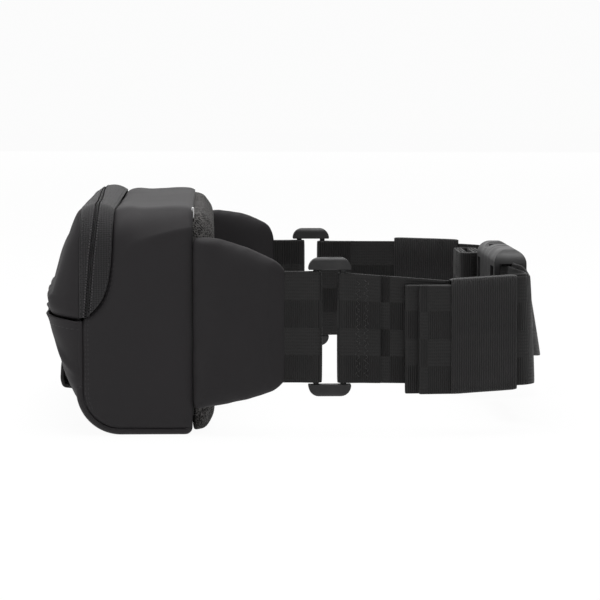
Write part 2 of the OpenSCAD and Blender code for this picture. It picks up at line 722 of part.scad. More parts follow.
module zip_pull() color([0.1, 0.1, 0.1]) mirror([1, 0, 0]) translate([pull_pin_x, split_y, slider_z]) {
    rotate([90, 0, 0]) difference() {
        union() {
            cylinder(d = pull_knuckle_d, h = 2.6, center = true);
            translate([-0.7, -pull_l / 2, -1.3]) cube([1.4, pull_l / 2, 2.6]);
        }
        cylinder(d = 1.4, h = 4, center = true);
    }
    translate([-0.7, 0, -pull_l]) rotate([90, 0, 90]) linear_extrude(1.4) difference() {
        translate([0, -2]) rounded_panel(5, 17, 1.2, 2.4);
        circle(1);
    }
}

// ---------------------------------------------------------------- assembly

back_pad();
back_mesh();
side_panel_right();
side_panel_left();
top_panel();
bottom_panel();
front_wall();
lining();
lower_pocket();
lash_loop_right();
lash_loop_left();
seam_binding();
zip_tape_body();
zip_coil_body();
wing_right();
wing_left();
wing_strap_right();
wing_strap_left();
flap_panel();
flap_pouch();
zip_tape_flap();
zip_coil_flap();
zip_slider();
zip_pull();
ring_right();
ring_left();
belt_right();
belt_left();
belt_surplus_right();
belt_roll_left();
buckle_socket();
buckle_plug();
prong_upper();
prong_lower();
keeper_right();
keeper_left();
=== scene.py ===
import bmesh
import bpy
import numpy as np
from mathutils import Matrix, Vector


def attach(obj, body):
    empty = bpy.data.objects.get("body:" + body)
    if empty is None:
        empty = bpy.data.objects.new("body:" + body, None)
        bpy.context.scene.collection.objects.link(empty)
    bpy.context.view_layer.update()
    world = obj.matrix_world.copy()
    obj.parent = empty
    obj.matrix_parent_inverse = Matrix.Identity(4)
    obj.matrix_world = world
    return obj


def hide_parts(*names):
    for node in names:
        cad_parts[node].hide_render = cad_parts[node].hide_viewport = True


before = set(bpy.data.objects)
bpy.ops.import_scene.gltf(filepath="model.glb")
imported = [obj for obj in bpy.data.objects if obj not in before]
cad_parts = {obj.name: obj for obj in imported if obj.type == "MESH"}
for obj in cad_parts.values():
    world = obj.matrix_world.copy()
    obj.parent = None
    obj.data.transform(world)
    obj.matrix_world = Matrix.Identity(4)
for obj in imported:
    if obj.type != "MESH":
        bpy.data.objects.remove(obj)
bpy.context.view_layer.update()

scene = bpy.context.scene


# --- Camera, floor and lights -----------------------------------------------------------------------
# A long lens looks at the pack's right side from a little above. The floor and the world read as white
# to the camera, and the soft lamps light the object at a plain level.
camera = bpy.data.objects.new("camera", bpy.data.cameras.new("camera"))
camera.data.lens = 159.4
camera.location = (1.295, 0.025, 0.162)
to_pack = Vector((0.115, 0.0651, 0.0608)) - camera.location
camera.rotation_euler = to_pack.to_track_quat("-Z", "Y").to_euler()
scene.collection.objects.link(camera)
scene.camera = camera
scene.view_settings.view_transform = "Standard"


def add(tree, kind, inputs=None, **settings):
    """Adds a node and returns its outputs; inputs maps a socket's name or number to a value or to the
    socket that feeds it."""
    made = tree.nodes.new("ShaderNode" + kind)
    for key, value in settings.items():
        setattr(made, key, value)
    for key, value in (inputs or {}).items():
        if isinstance(value, bpy.types.NodeSocket):
            tree.links.new(value, made.inputs[key])
        else:
            made.inputs[key].default_value = value
    return made.outputs


def blank(name):
    """A new material with an empty node tree, and that tree."""
    material = bpy.data.materials.new(name)
    material.use_nodes = True
    material.node_tree.nodes.clear()
    return material, material.node_tree


def white_to_camera(tree, shader, share):
    """Mixes a shader with plain white, by share, for the rays that see it directly or in a reflection."""
    path = add(tree, "LightPath")
    seen = add(tree, "Math", {0: path["Is Camera Ray"], 1: path["Is Glossy Ray"]}, operation="MAXIMUM")[0]
    amount = add(tree, "Math", {0: seen, 1: share}, operation="MULTIPLY")[0]
    white = add(tree, "Emission", {"Color": (1, 1, 1, 1), "Strength": 1.0})[0]
    return add(tree, "MixShader", {0: amount, 1: shader, 2: white})[0]


FLOOR_REACH, FLOOR_Z = 6, -0.0002  # in metres; the floor lies a hair under the pack
floor_mesh = bpy.data.meshes.new("floor")
corners = ((-1, -1), (1, -1), (1, 1), (-1, 1))
floor_mesh.from_pydata([(x * FLOOR_REACH, y * FLOOR_REACH, FLOOR_Z) for x, y in corners], [], [(0, 1, 2, 3)])
floor = bpy.data.objects.new("floor", floor_mesh)
scene.collection.objects.link(floor)
floor_paint, tree = blank("pale_floor")
matt = add(tree, "BsdfDiffuse", {"Color": (0.86, 0.86, 0.86, 1)})[0]
add(tree, "OutputMaterial", {0: white_to_camera(tree, matt, 0.95)})
floor_mesh.materials.append(floor_paint)

world = bpy.data.worlds.new("studio")
scene.world = world
world.use_nodes = True
tree = world.node_tree
tree.nodes.clear()
path = add(tree, "LightPath")
glow = add(tree, "MapRange", {0: path["Is Camera Ray"], 3: 0.40, 4: 0.97})[0]
sky = add(tree, "Background", {"Color": (1, 1, 1, 1), "Strength": glow})[0]
add(tree, "OutputWorld", {0: sky})

lit_spot = Vector((0, 0.06, 0.05))  # what every lamp points at
for name, place, size, watts in (("overhead", (0.1, 0.0, 1.5), 1.1, 25.0),
                                 ("rear", (-3.4, 0.4, 1.6), 3.6, 38.0),
                                 ("front", (0.5, -1.6, 0.45), 0.8, 3.2),
                                 ("near_side", (1.7, 0.9, 0.9), 1.2, 2.2)):
    lamp = bpy.data.lights.new(name, "AREA")
    lamp.size, lamp.energy = size, watts
    holder = bpy.data.objects.new(name, lamp)
    holder.location = place
    holder.rotation_euler = (lit_spot - Vector(place)).to_track_quat("-Z", "Y").to_euler()
    scene.collection.objects.link(holder)


# --- Pack shell -------------------------------------------------------------------------------------
# One cover of smooth black nylon over thin foam runs up the right side, over the top and down the left
# side. Its edges roll inwards at the back seam, at the gusset below and along the zipper.
def ease(t):
    """0 below 0, 1 above 1, and 3t^2 - 2t^3 in between."""
    t = np.clip(t, 0, 1)
    return t * t * (3 - 2 * t)


def stacked(*parts):
    """Points from their coordinates, which are stretched to one grid first."""
    return np.stack(np.broadcast_arrays(*parts), -1)


def unit(vectors):
    """Vectors scaled to length 1."""
    return vectors / np.linalg.norm(vectors, axis=-1)[..., None]


def gone_along(line):
    """Length gone at each point of a line."""
    return np.concatenate([[0], np.cumsum(np.linalg.norm(np.diff(line, axis=0), axis=1))])


def flowing(points, count=200):
    """Cubic curve through the points: each stretch is a Hermite cubic whose end slopes are those of the
    chord between the neighbours on either side."""
    p = np.array(points, float)
    along = gone_along(p)
    slope = np.gradient(p, along, axis=0)
    s = np.linspace(0, along[-1], count)
    k = np.clip(np.searchsorted(along, s, "right") - 1, 0, len(p) - 2)
    h = (along[k + 1] - along[k])[:, None]
    t = (s - along[k])[:, None] / h
    return ((2 * t**3 - 3 * t**2 + 1) * p[k] + (t**3 - 2 * t**2 + t) * h * slope[k]
            + (3 * t**2 - 2 * t**3) * p[k + 1] + (t**3 - t**2) * h * slope[k + 1])


def read(curve, at):
    """Second coordinate of a curve where its first one has the given values."""
    return np.interp(at, curve[:, 0], curve[:, 1])


def bezier(t, a, b, c, d):
    """Cubic Bezier from a to d, drawn towards b and c."""
    return a * (1 - t)**3 + 3 * b * t * (1 - t)**2 + 3 * c * t**2 * (1 - t) + d * t**3


def undulate(a, b, seed, height=0.3, shortest=22, longest=70):
    """Gentle unevenness of filled cloth: seven sine waves of random direction, length and phase."""
    draw = np.random.default_rng(seed)
    total = np.zeros(np.broadcast(a, b).shape)
    for _ in range(7):
        turn, phase = draw.uniform(0, 2 * np.pi, 2)
        wave = draw.uniform(shortest, longest)
        total += np.sin(2 * np.pi * (a * np.cos(turn) + b * np.sin(turn)) / wave + phase)
    return total * height / 3


def smooth_object(name, mesh):
    """Object of a mesh, smooth shaded and linked into the scene."""
    mesh.polygons.foreach_set("use_smooth", [True] * len(mesh.polygons))
    piece = bpy.data.objects.new(name, mesh)
    scene.collection.objects.link(piece)
    return piece


def surface(name, points, uv=None, wall=None, ring=False, caps=False, inside=None):
    """Mesh of one quad per cell of a grid of points (rows, columns, 3) in millimetres. ring joins the last
    column to the first and welds points that meet, and caps closes the end rows. Faces turn away from
    `inside`, or from the middle. uv gives each point's millimetres of cloth, and wall a sheet's thickness,
    towards the inner side."""
    points = np.asarray(points, float)
    rows, columns = points.shape[:2]
    index = np.arange(rows * columns).reshape(rows, columns)
    if ring:
        index = np.concatenate([index, index[:, :1]], axis=1)
    faces = np.stack([index[:-1, :-1], index[:-1, 1:], index[1:, 1:], index[1:, :-1]], -1).reshape(-1, 4)
    flat = points.reshape(-1, 3)
    corner = flat[faces]
    normal = np.cross(corner[:, 2] - corner[:, 0], corner[:, 3] - corner[:, 1])
    centre = flat.mean(0) if inside is None else np.array(inside, float)
    outward = ((corner.mean(1) - centre) * normal).sum() > 0
    ends = [index[0, :columns][::-1].tolist(), index[-1, :columns].tolist()] if caps else []
    if not outward:
        faces = faces[:, ::-1]
        ends = [end[::-1] for end in ends]
    mesh = bpy.data.meshes.new(name)
    mesh.from_pydata((flat * 0.001).tolist(), [], faces.tolist() + ends)
    if uv is not None:
        corners = np.zeros(len(mesh.loops), int)
        mesh.loops.foreach_get("vertex_index", corners)
        layer = mesh.uv_layers.new(name="cloth")
        layer.data.foreach_set("uv", np.asarray(uv, float).reshape(-1, 2)[corners].ravel())
    mesh.validate()
    if ring:
        shape = bmesh.new()
        shape.from_mesh(mesh)
        bmesh.ops.remove_doubles(shape, verts=shape.verts, dist=2e-6)
        shape.to_mesh(mesh)
        shape.free()
    piece = smooth_object(name, mesh)
    if wall:
        sheet = piece.modifiers.new("thickness", "SOLIDIFY")
        sheet.thickness, sheet.offset, sheet.use_even_offset = wall * 0.001, -1, False
    return piece


def fit(piece, body, slot, material, *nodes):
    """Puts the finish on a piece, parents it to the body it moves with, and hides the CAD nodes it stands
    for.
    """
    piece.data.materials.clear()
    piece.data.materials.append(material)
    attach(piece, body)
    if nodes:
        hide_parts(*nodes)
    return piece


def group(name, inputs, outputs):
    """Starts a shader node group: its tree, its input sockets and its output node."""
    made = bpy.data.node_groups.new(name, "ShaderNodeTree")
    for label, kind in inputs:
        made.interface.new_socket(label, in_out="INPUT", socket_type="NodeSocket" + kind)
    for label in outputs:
        made.interface.new_socket(label, in_out="OUTPUT", socket_type="NodeSocketFloat")
    return made, made.nodes.new("NodeGroupInput").outputs, made.nodes.new("NodeGroupOutput")


def calc(tree, operation, *values):
    """One step of arithmetic on sockets or plain numbers."""
    return add(tree, "Math", dict(enumerate(values)), operation=operation)[0]


def blend(tree, share, dark, pale):
    """Mixes two colours by a share."""
    return add(tree, "Mix", {0: share, 6: (*dark, 1), 7: (*pale, 1)}, data_type="RGBA")[2]


def finish(tree, sockets, height=None, relief=0.0, strength=0.0):
    """Ends a material with a principled shader and, where there is a height, a bump `relief` millimetres
    high."""
    if height is not None:
        bump = {"Height": height, "Distance": relief * 0.001, "Strength": strength}
        sockets = {**sockets, "Normal": add(tree, "Bump", bump)[0]}
    shader = add(tree, "BsdfPrincipled", sockets)
    add(tree, "OutputMaterial", {0: shader[0]})


# Plain weave: the product of two sine waves, one across each set of threads.
TURN = 6.2832  # once round, for a sine node
weave, inlet, outlet = group("plain_weave", [("Place", "Vector"), ("Warp pitch", "Float"),
                                             ("Weft pitch", "Float")], ["Height"])
split = add(weave, "SeparateXYZ", {0: inlet["Place"]})
threads = [calc(weave, "SINE", calc(weave, "DIVIDE", calc(weave, "MULTIPLY", split[k], TURN), inlet[1 + k]))
           for k in (0, 1)]
weave.links.new(calc(weave, "MULTIPLY_ADD", calc(weave, "MULTIPLY", *threads), 0.5, 0.5), outlet.inputs[0])

# Use: large soft patches where the cloth is a little paler, and a fine fleck of lint.
wear, inlet, outlet = group("soft_wear", [("Place", "Vector"), ("Patch size", "Float")], ["Patches", "Fleck"])
patch = add(wear, "TexNoise", {"Vector": inlet["Place"], "Detail": 3.0,
                               "Scale": calc(wear, "DIVIDE", 1.0, inlet["Patch size"])})
fleck = add(wear, "TexNoise", {"Vector": inlet["Place"], "Scale": 900.0, "Detail": 2.0})
wear.links.new(patch[0], outlet.inputs[0])
wear.links.new(add(wear, "MapRange", {0: fleck[0], 1: 0.55, 2: 0.8})[0], outlet.inputs[1])


def woven_and_worn(tree, threads, warp, weft, patches):
    """Places both groups in a material: thread height, patches and lint."""
    where = add(tree, "TexCoord")["Object"]
    woven = add(tree, "Group", {"Place": threads, "Warp pitch": warp, "Weft pitch": weft}, node_tree=weave)
    used = add(tree, "Group", {"Place": where, "Patch size": patches}, node_tree=wear)
    return woven[0], used[0], used[1]


def cloth(name, dark, pale, warp=0.42, weft=0.36, relief=0.03, rough=0.55, sheen=0.15, gloss=0.4, turn=None):
    """Woven cloth: the two colours mix by patches and thread height. Its threads run along the piece's UV
    map or, where `turn` is given, along the X and Y of Object coordinates turned by it. Pitches and relief
    are millimetres."""
    material, tree = blank(name)
    if turn is None:
        threads = add(tree, "UVMap", uv_map="cloth")[0]
    else:
        where = add(tree, "TexCoord")["Object"]
        turned = add(tree, "Mapping", {0: where, "Rotation": turn, "Scale": (1000, 1000, 1000)})
        threads = turned[0]
    thread, worn, lint = woven_and_worn(tree, threads, warp, weft, 0.03)
    mixed = calc(tree, "MULTIPLY_ADD", thread, 0.35, calc(tree, "MULTIPLY", worn, 0.75))
    finish(tree, {"Base Color": blend(tree, mixed, dark, pale),
                  "Roughness": calc(tree, "MULTIPLY_ADD", worn, 0.12, rough - 0.06),
                  "Specular IOR Level": gloss, "Sheen Weight": sheen, "Sheen Roughness": 0.4},
           calc(tree, "MULTIPLY_ADD", lint, 0.2, thread), relief, 0.6)
    return material


nylon = cloth("shell_nylon", (0.0092, 0.0081, 0.0092), (0.0168, 0.0148, 0.0164), rough=0.66, sheen=0.0,
              gloss=0.3)
HALF_W, TOP, FRONT, SEAM = 113.0, 103.0, -35.0, 17.0  # shell at rest: half width, top, front, back seam
SEAM_IN = 3.2  # gusset seam, inside the outline
SHOULDER, TOE = 16.0, 20.0  # radii of the upper corners and of the toe
FLAT_X, LEG_Z = HALF_W - SHOULDER, TOP - SHOULDER  # where the shoulder's curve ends, on top and below
TOE_Y = FRONT + TOE  # where the base starts to curve up
TOP_FRONT = -18.0  # front edge of the top, at the zipper
CREASE_Z = 77.0  # the side leans in above this at the front
FOLD_Z = 51.4  # upper edge of the lower front
MIDST = (0, -10, 50)  # inside the pack
SIDE_ROWS, SHOULDER_ROWS, TOP_ROWS, ACROSS = 51, 21, 39, 44  # rows of half a cover's three parts, columns
zip_edge = flowing([(-31.8, 52.1), (-26.8, 56.5), (-23.3, 61), (-21.5, 65.5), (-20.1, 71.7), (-19.2, 80.7),
                    (-18.6, 92), (-18, 104)])[:, ::-1]  # z and y of the seam beside the zipper
crease = flowing([(-24, 76.5), (-19, 77), (-15, 80), (-8.5, 87.5), (0, 91), (10, 93), (17, 94)])
settled = flowing([(-45, -4.1), (-35, -3.15), (-25, -2.25), (-18, -1.6), (-12, -1.5), (-6, -2.3), (0, -2.25),
                   (8, -1.6), (17, -1.15), (30, -0.7)])


def lean(points):
    """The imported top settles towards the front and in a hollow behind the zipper: above z 60 each point
    moves down, by as much on top as the curve `settled` gives at its y."""
    points = np.array(points, float)
    points[..., 2] += ease((points[..., 2] - 60) / 43) * read(settled, points[..., 1])
    return points


def cover():
    """Half of the cover, on the right: rows climb the side from the gusset seam, lean in above the crease
    and pass over the shoulder on a cubic Bezier to the middle of the top; columns run front to back. Near
    an edge at a distance e the cloth swells by 1 - exp(-e/9) and dives into the seam by 0.95 exp(-e/1.3),
    and along the zipper it is bevelled by 1.1 mm."""
    toe = np.radians(np.linspace(90, 0, 16))
    front_z = np.concatenate([TOE - (TOE - SEAM_IN) * np.sin(toe), np.linspace(TOE, CREASE_Z, 36)[1:]])
    u = (1 - np.cos(np.pi * np.linspace(0, 1, ACROSS)))[None, :] / 2
    front_y = np.where(front_z < TOE,
                       TOE_Y - np.sqrt(np.clip((TOE - SEAM_IN)**2 - (TOE - front_z)**2, 0, None)),
                       read(zip_edge, front_z))[:, None]
    y = front_y + u * (SEAM - front_y)
    rise = ((front_z - SEAM_IN) / (CREASE_Z - SEAM_IN))[:, None]
    z = SEAM_IN + (read(crease, y) - SEAM_IN) * rise
    side = stacked(HALF_W, y, z)

    t = np.linspace(0, 1, SHOULDER_ROWS + 1)[1:, None]
    front_y = read(zip_edge, bezier(t, CREASE_Z, 91, TOP, TOP))
    y2 = front_y + u * (SEAM - front_y)
    start = read(crease, y2)
    z2 = bezier(t, start, start + 0.62 * (TOP - start), TOP, TOP)
    flush = FLAT_X + SHOULDER * np.sqrt(1 - np.clip((z2 - LEG_Z) / SHOULDER, 0, 1)**2)
    x2 = flush + (bezier(t, HALF_W, 109.0, 106.8, FLAT_X) - flush) * ease((y2 - front_y) / 17)
    flat = stacked(np.linspace(FLAT_X, 0, TOP_ROWS + 1)[1:, None], TOP_FRONT + u * (SEAM - TOP_FRONT), TOP)

    points = np.concatenate([side, stacked(x2, y2, z2), flat])
    facing = np.concatenate([np.zeros(y.shape), np.broadcast_to(t, y2.shape), np.ones(flat.shape[:2])])
    front_gap = points[..., 1] - points[:, :1, 1]
    edge = np.minimum(front_gap, SEAM - points[..., 1])
    edge[:SIDE_ROWS] = np.minimum(edge[:SIDE_ROWS], z - SEAM_IN)
    bevel = -1.1 * np.exp(-front_gap / 3.5) * ease((points[..., 2] - 46) / 12)
    bulge = (1 - np.exp(-edge / 9) - 0.95 * np.exp(-edge / 1.3) + bevel
             + undulate(points[..., 1], points[..., 2] + points[..., 0], 4, 0.22))
    points[..., 0] += np.cos(facing * np.pi / 2) * bulge
    points[..., 2] += np.sin(facing * np.pi / 2) * bulge
    return lean(points), stacked(points[..., 1], gone_along(points[:, 20])[:, None])


half, half_uv = cover()
SHOULDER_END = SIDE_ROWS + SHOULDER_ROWS  # the side panel's last row, at the top panel's seam
side_uv, top, top_uv = half_uv[:SHOULDER_END], half[SHOULDER_END - 1:], half_uv[SHOULDER_END - 1:]
flip = np.array([-1, 1, 1])
whole_top = np.concatenate([top, top[:-1][::-1] * flip])
whole_uv = np.concatenate([top_uv, top_uv[:-1][::-1] * [1, -1] + [0, 2 * top_uv[-1, 0, 1]]])
for name, points, uv, cut, area in (
        ("side_cover_right", half[:SHOULDER_END], side_uv, (0.049, 0.115), 0.0048),
        ("side_cover_left", half[:SHOULDER_END] * flip, side_uv, (0.049, 0.115), 0.0048),
        ("top_cover", whole_top, whole_uv, (0.036, 0.195), None)):
    piece = surface(name, points, uv, wall=2.4, inside=MIDST)
    fit(piece, "pack", "shell_nylon", nylon, name.replace("_cover", "_panel"))


# The base and the lower front are one strip of the same nylon, bent up round the toe. Its long edges turn
# through a quarter circle and meet the side covers in the gusset seam; the base lies flat on the ground.
def wrap():
    """Rows follow the side view from the back seam along the base, round the toe and up the front; columns
    cross it, each long edge turning inwards on a quarter circle of radius SEAM_IN."""
    toe = np.radians(np.linspace(0, 90, 24))
    heel = np.radians(np.linspace(0, 90, 7))
    path = np.concatenate([stacked(SEAM - SEAM_IN * (1 - np.cos(heel)), SEAM_IN * (1 - np.sin(heel))),
                           stacked(np.linspace(SEAM - SEAM_IN, TOE_Y, 20)[1:-1], 0.0),
                           stacked(TOE_Y - TOE * np.sin(toe), TOE - TOE * np.cos(toe)),
                           stacked(FRONT, np.linspace(TOE, FOLD_Z, 31)[1:])])
    step = unit(np.gradient(path, axis=0))
    inward = stacked(step[:, 1], -step[:, 0])
    turn = np.radians(np.linspace(90, 0, 9))
    edge_x = HALF_W - SEAM_IN + SEAM_IN * np.sin(turn)
    edge_depth = SEAM_IN * (1 - np.cos(turn))
    x = np.concatenate([edge_x, np.linspace(HALF_W - SEAM_IN, SEAM_IN - HALF_W, 74)[1:-1], -edge_x[::-1]])
    depth = np.concatenate([edge_depth, np.zeros(72), edge_depth[::-1]])
    side = np.clip((SEAM_IN - depth) / SEAM_IN, 0, 1)
    x = x - np.sign(x) * np.where(depth > 0, 0.9 * np.exp(-side * SEAM_IN), 0)
    puff = undulate(path[:, None, 0] * 2 + path[:, None, 1], x[None, :], 9, 0.25)
    sink = depth[None, :] - puff * ease((path[:, 1] - 6) / 20)[:, None] * side[None, :]
    y, z = (path[:, None, k] + inward[:, None, k] * sink for k in (0, 1))
    return stacked(x, y, z), stacked(x, gone_along(path)[:, None])


points, uv = wrap()
TOE_ROW = 50  # where the base cloth is joined to the front cloth
for name, rows, node, cut in (("base_cover", slice(0, TOE_ROW + 1), "bottom_panel", (0.225, 0.067)),
                              ("front_cover", slice(TOE_ROW, None), "front_wall", (0.225, 0.030))):
    piece = surface(name, points[rows], uv[rows], wall=2.6, inside=MIDST)
    fit(piece, "pack", "shell_nylon", nylon, node)


# --- Lining -----------------------------------------------------------------------------------------
# A loose inner bag of plain grey cloth, 4.6 mm inside the shell: one strip down the back wall, along the
# floor and up the front, and a cheek on each side. It hangs from the back seam and the zipper.
lining_cloth = cloth("lining_cloth", (0.035, 0.036, 0.039), (0.060, 0.061, 0.066), 0.5, 0.5, 0.03, 0.62,
                     gloss=0.3)
INNER, BEND, BAG_X = 4.6, 8, 107.6  # gap to the shell, back corners' radius, half width
MIDDLE = np.array([-8.0, 50.0])  # of the bag in side view
IN_BAG = (0, *MIDDLE)


def lining_profile():
    """Side view of the inner bag from the top's front edge round the back, the floor and the toe to the
    front's upper edge, with quarter circles at the two back corners and at the toe."""
    corner = np.radians(np.linspace(0, 90, 12))
    back, top_z, toe_r = SEAM - 1.2, TOP - INNER - 1.2, TOE - INNER
    return np.concatenate([
        stacked(np.linspace(-23, back - BEND, 20), top_z),
        stacked(back - BEND + BEND * np.sin(corner), top_z - BEND + BEND * np.cos(corner))[1:],
        stacked(back, np.linspace(top_z - BEND, INNER + BEND, 30))[1:],
        stacked(back - BEND + BEND * np.cos(corner), INNER + BEND - BEND * np.sin(corner))[1:],
        stacked(np.linspace(back - BEND, TOE_Y, 12), INNER)[1:],
        stacked(TOE_Y - toe_r * np.sin(corner), TOE - toe_r * np.cos(corner))[1:],
        stacked(FRONT + INNER, np.linspace(TOE, 50.6, 14))[1:]])


def drawn_in(z):
    """Share of its width that the bag keeps at a height: it narrows by a tenth under the shoulders."""
    return 1 - 0.11 * ease((z - 74) / 18)


profile = lining_profile()
x = np.linspace(-BAG_X, BAG_X, 70)
y, z = profile[:, :1], profile[:, 1:]
row = np.arange(len(profile))[:, None]
slack = np.abs(undulate(x[None, :], z + y, 21, 0.5) * ease(np.minimum(row, row[::-1]) / 8)
               * ease((BAG_X - np.abs(x)) / 10))
pull = unit(MIDDLE - profile)
length = gone_along(profile)
points = stacked(x * drawn_in(z), y + pull[:, :1] * slack, z + pull[:, 1:] * slack)
piece = surface("lining_bag", lean(points), stacked(x, length[:, None]), wall=0.6, inside=IN_BAG)
fit(piece, "pack", "lining_cloth", lining_cloth, "lining")
mouth = flowing([profile[-1], (-28.0, 60), (-26.2, 72), (-24.2, 86), profile[0]], 30)[1:-1]
share = np.linspace(0, 1, 24)[:, None]
ring = np.concatenate([profile, mouth])[None] * share[..., None] + MIDDLE * (1 - share[..., None])
for side, name in ((1, "lining_cheek_right"), (-1, "lining_cheek_left")):
    sag = np.abs(undulate(ring[..., 0], ring[..., 1], 30 + side, 0.7)) * (1 - share**4)
    points = stacked(side * (BAG_X - sag) * drawn_in(ring[..., 1]), ring[..., 0], ring[..., 1])
    cheek = surface(name, lean(points), ring, wall=0.6, ring=True, inside=IN_BAG)
    fit(cheek, "pack", "lining_cloth", lining_cloth)

# A plain facing closes the back inside the seam; the pad is sewn on over it.
BEND_Z, RISE, OUT = 85, 16.8, 14.4  # upper corners: start and size of a quarter ellipse
climb = RISE * np.sin(np.radians(np.linspace(3, 90, 24)))
z = np.concatenate([np.linspace(2.2, BEND_Z, 40), BEND_Z + climb])[:, None]
reach = FLAT_X + OUT * np.sqrt(np.clip(1 - (np.clip(z - BEND_Z, 0, None) / RISE)**2, 0, 1))
x = np.linspace(-1, 1, 60)[None, :] * reach
y = SEAM - 1.6 - 0.6 * ease((reach - np.abs(x)) / 8) + undulate(x, z, 33, 0.25)
piece = surface("back_facing", lean(stacked(x, y, z)), stacked(x, z), wall=0.6, inside=IN_BAG)
fit(piece, "pack", "lining_cloth", lining_cloth)


# --- Back pad ---------------------------------------------------------------------------------------
# Closed-cell foam under a knitted spacer mesh, sewn down in the back seam. The mesh is open: uneven dark
# pits, just under a millimetre apart, between grey yarns.
def points_of(piece):
    """Positions of a piece's points, in metres."""
    co = np.zeros(len(piece.data.vertices) * 3)
    piece.data.vertices.foreach_get("co", co)
    return co.reshape(-1, 3)


def bake_down(piece):
    """Replaces a piece's mesh with what its modifiers make of it."""
    solved = bpy.data.meshes.new_from_object(piece.evaluated_get(bpy.context.evaluated_depsgraph_get()))
    piece.modifiers.clear()
    piece.data = solved


def inflate(name, nodes, voxel, cap, hold):
    """Cloth simulation of a padded piece: the CAD solid is merged and remeshed at five times its size and
    blown up for 20 frames without gravity, no point moving more than `cap` millimetres. `hold` says which
    points, in millimetres, its seams pin down."""
    grow = 5.0
    shape = bmesh.new()
    for node in nodes:
        shape.from_mesh(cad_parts[node].data)
    bmesh.ops.remove_doubles(shape, verts=shape.verts, dist=1e-6)
    bmesh.ops.scale(shape, vec=(grow, grow, grow), verts=shape.verts)
    mesh = bpy.data.meshes.new(name)
    shape.to_mesh(mesh)
    shape.free()
    piece = smooth_object(name, mesh)
    remesh = piece.modifiers.new("remesh", "REMESH")
    remesh.mode, remesh.voxel_size = "VOXEL", voxel * grow * 0.001
    bake_down(piece)
    rest = points_of(piece)
    pins = piece.vertex_groups.new(name="pins")
    pins.add(np.flatnonzero(hold(rest * 1000 / grow)).tolist(), 1.0, "REPLACE")
    blow = piece.modifiers.new("blow", "CLOTH").settings
    blow.use_pressure, blow.uniform_pressure_force = True, 4.0
    blow.vertex_group_mass = "pins"
    blow.effector_weights.gravity = 0
    blow.quality = 5
    for step in range(1, 21):
        scene.frame_set(step)
    bake_down(piece)
    scene.frame_set(1)
    moved = points_of(piece) - rest
    far = np.linalg.norm(moved, axis=1)[:, None]
    rest = rest + moved * np.minimum(1, cap * grow * 0.001 / np.maximum(far, 1e-9))
    piece.data.vertices.foreach_set("co", (rest / grow).ravel())
    piece.data.polygons.foreach_set("use_smooth", [True] * len(piece.data.polygons))
    piece.data.update()
    return piece


def reshape(piece, change):
    """Moves every point of a mesh by a function that takes and returns points in millimetres."""
    piece.data.vertices.foreach_set("co", (change(points_of(piece) * 1000) * 0.001).ravel())
    piece.data.update()


def rounder(piece):
    """Smooths a mesh's facets away with one level of subdivision."""
    rounded = piece.modifiers.new("rounded", "SUBSURF")
    rounded.levels = rounded.render_levels = 1


def channels(points):
    """Two sewn channels run down the back pad, Gaussian furrows 2.6 mm deep. Its ends thin a little, its
    top stands up out of the seam in soft folds, and its bottom hangs lower."""
    x, y, z = points.T
    upright = ease((z - 8) / 10) * ease((94 - z) / 10)
    for furrow in (-42.0, 42.0):
        y -= 2.6 * ease((y - 20) / 3) * upright * np.exp(-((x - furrow) / 2.6)**2)
    y -= 0.14 * np.maximum(ease((z - 86) / 12), ease((9 - z) / 9)) * np.clip(y - SEAM, 0, None)
    z += 2.0 * ease((z - 84) / 14)
    z[:] = np.maximum(z - 2.8 * ease((14 - z) / 12), 0.6)
    y -= 2.2 * ease((z - 82) / 8) * ease((22 - y) / 5)
    z += undulate(x, y * 3, 15, 0.6, 18, 50) * ease((z - 84) / 10)
    return lean(points)


spacer, tree = blank("spacer_mesh")
where = add(tree, "TexCoord")["Object"]
stretch = add(tree, "Mapping", {0: where, "Scale": (1150, 1150, 980)})[0]
pits = add(tree, "TexVoronoi", {"Vector": stretch, "Scale": 1.0, "Randomness": 0.8})
open_mesh = add(tree, "MapRange", {0: pits["Distance"], 1: 0.2, 2: 0.62})[0]
yarn = add(tree, "TexNoise", {"Vector": where, "Scale": 2600.0, "Detail": 2.0})[0]
grey = blend(tree, calc(tree, "MULTIPLY", open_mesh, yarn), (0.010, 0.010, 0.010), (0.17, 0.162, 0.158))
finish(tree, {"Base Color": grey, "Roughness": 0.85, "Specular IOR Level": 0.2},
       calc(tree, "MULTIPLY_ADD", yarn, 0.25, open_mesh), 0.7, 0.9)

pad = inflate("back_pad_cover", ["back_mesh", "back_pad"], 2.6, 2.2, lambda p: p[:, 1] < 19.5)
reshape(pad, channels)
rounder(pad)
fit(pad, "pack", "mesh", spacer, "back_mesh", "back_pad")


# --- Wings ------------------------------------------------------------------------------------------
# Padded wings of the shell nylon over foam, turned inside out so that the seam hides, sewn into the back
# seam and tapering to the webbing that is caught in their ends.
RING_X = 111.5  # middle plane of a wing, its strap and its ring


def wing_shape(points):
    """The wing thins to half over its last 9 mm, where the strap is caught, and over 4 mm at the seam, where
    its faces pucker."""
    x, y, z = points.T
    thin = 1 - 0.45 * ease((y - 50) / 9) - 0.3 * ease((21 - y) / 4)
    pucker = 0.4 * np.sin(z * 0.55 + np.sin(z * 0.21) * 2) * np.exp((SEAM - y) / 8)
    soft = undulate(y * 1.5, z, 51, 0.45, 16, 50) + pucker
    out = x - RING_X
    x[:] = RING_X + out * thin + np.sign(out) * soft * ease((58 - y) / 8)
    return points


def far_wing(points):
    """The left wing is the right one mirrored, and its upper edge stands up to 4.5 mm higher."""
    points = points * flip
    x, y, z = points.T
    z += 4.5 * ease((z - 46) / 30) * ease((y - 16) / 34) * ease((62 - y) / 6)
    return points


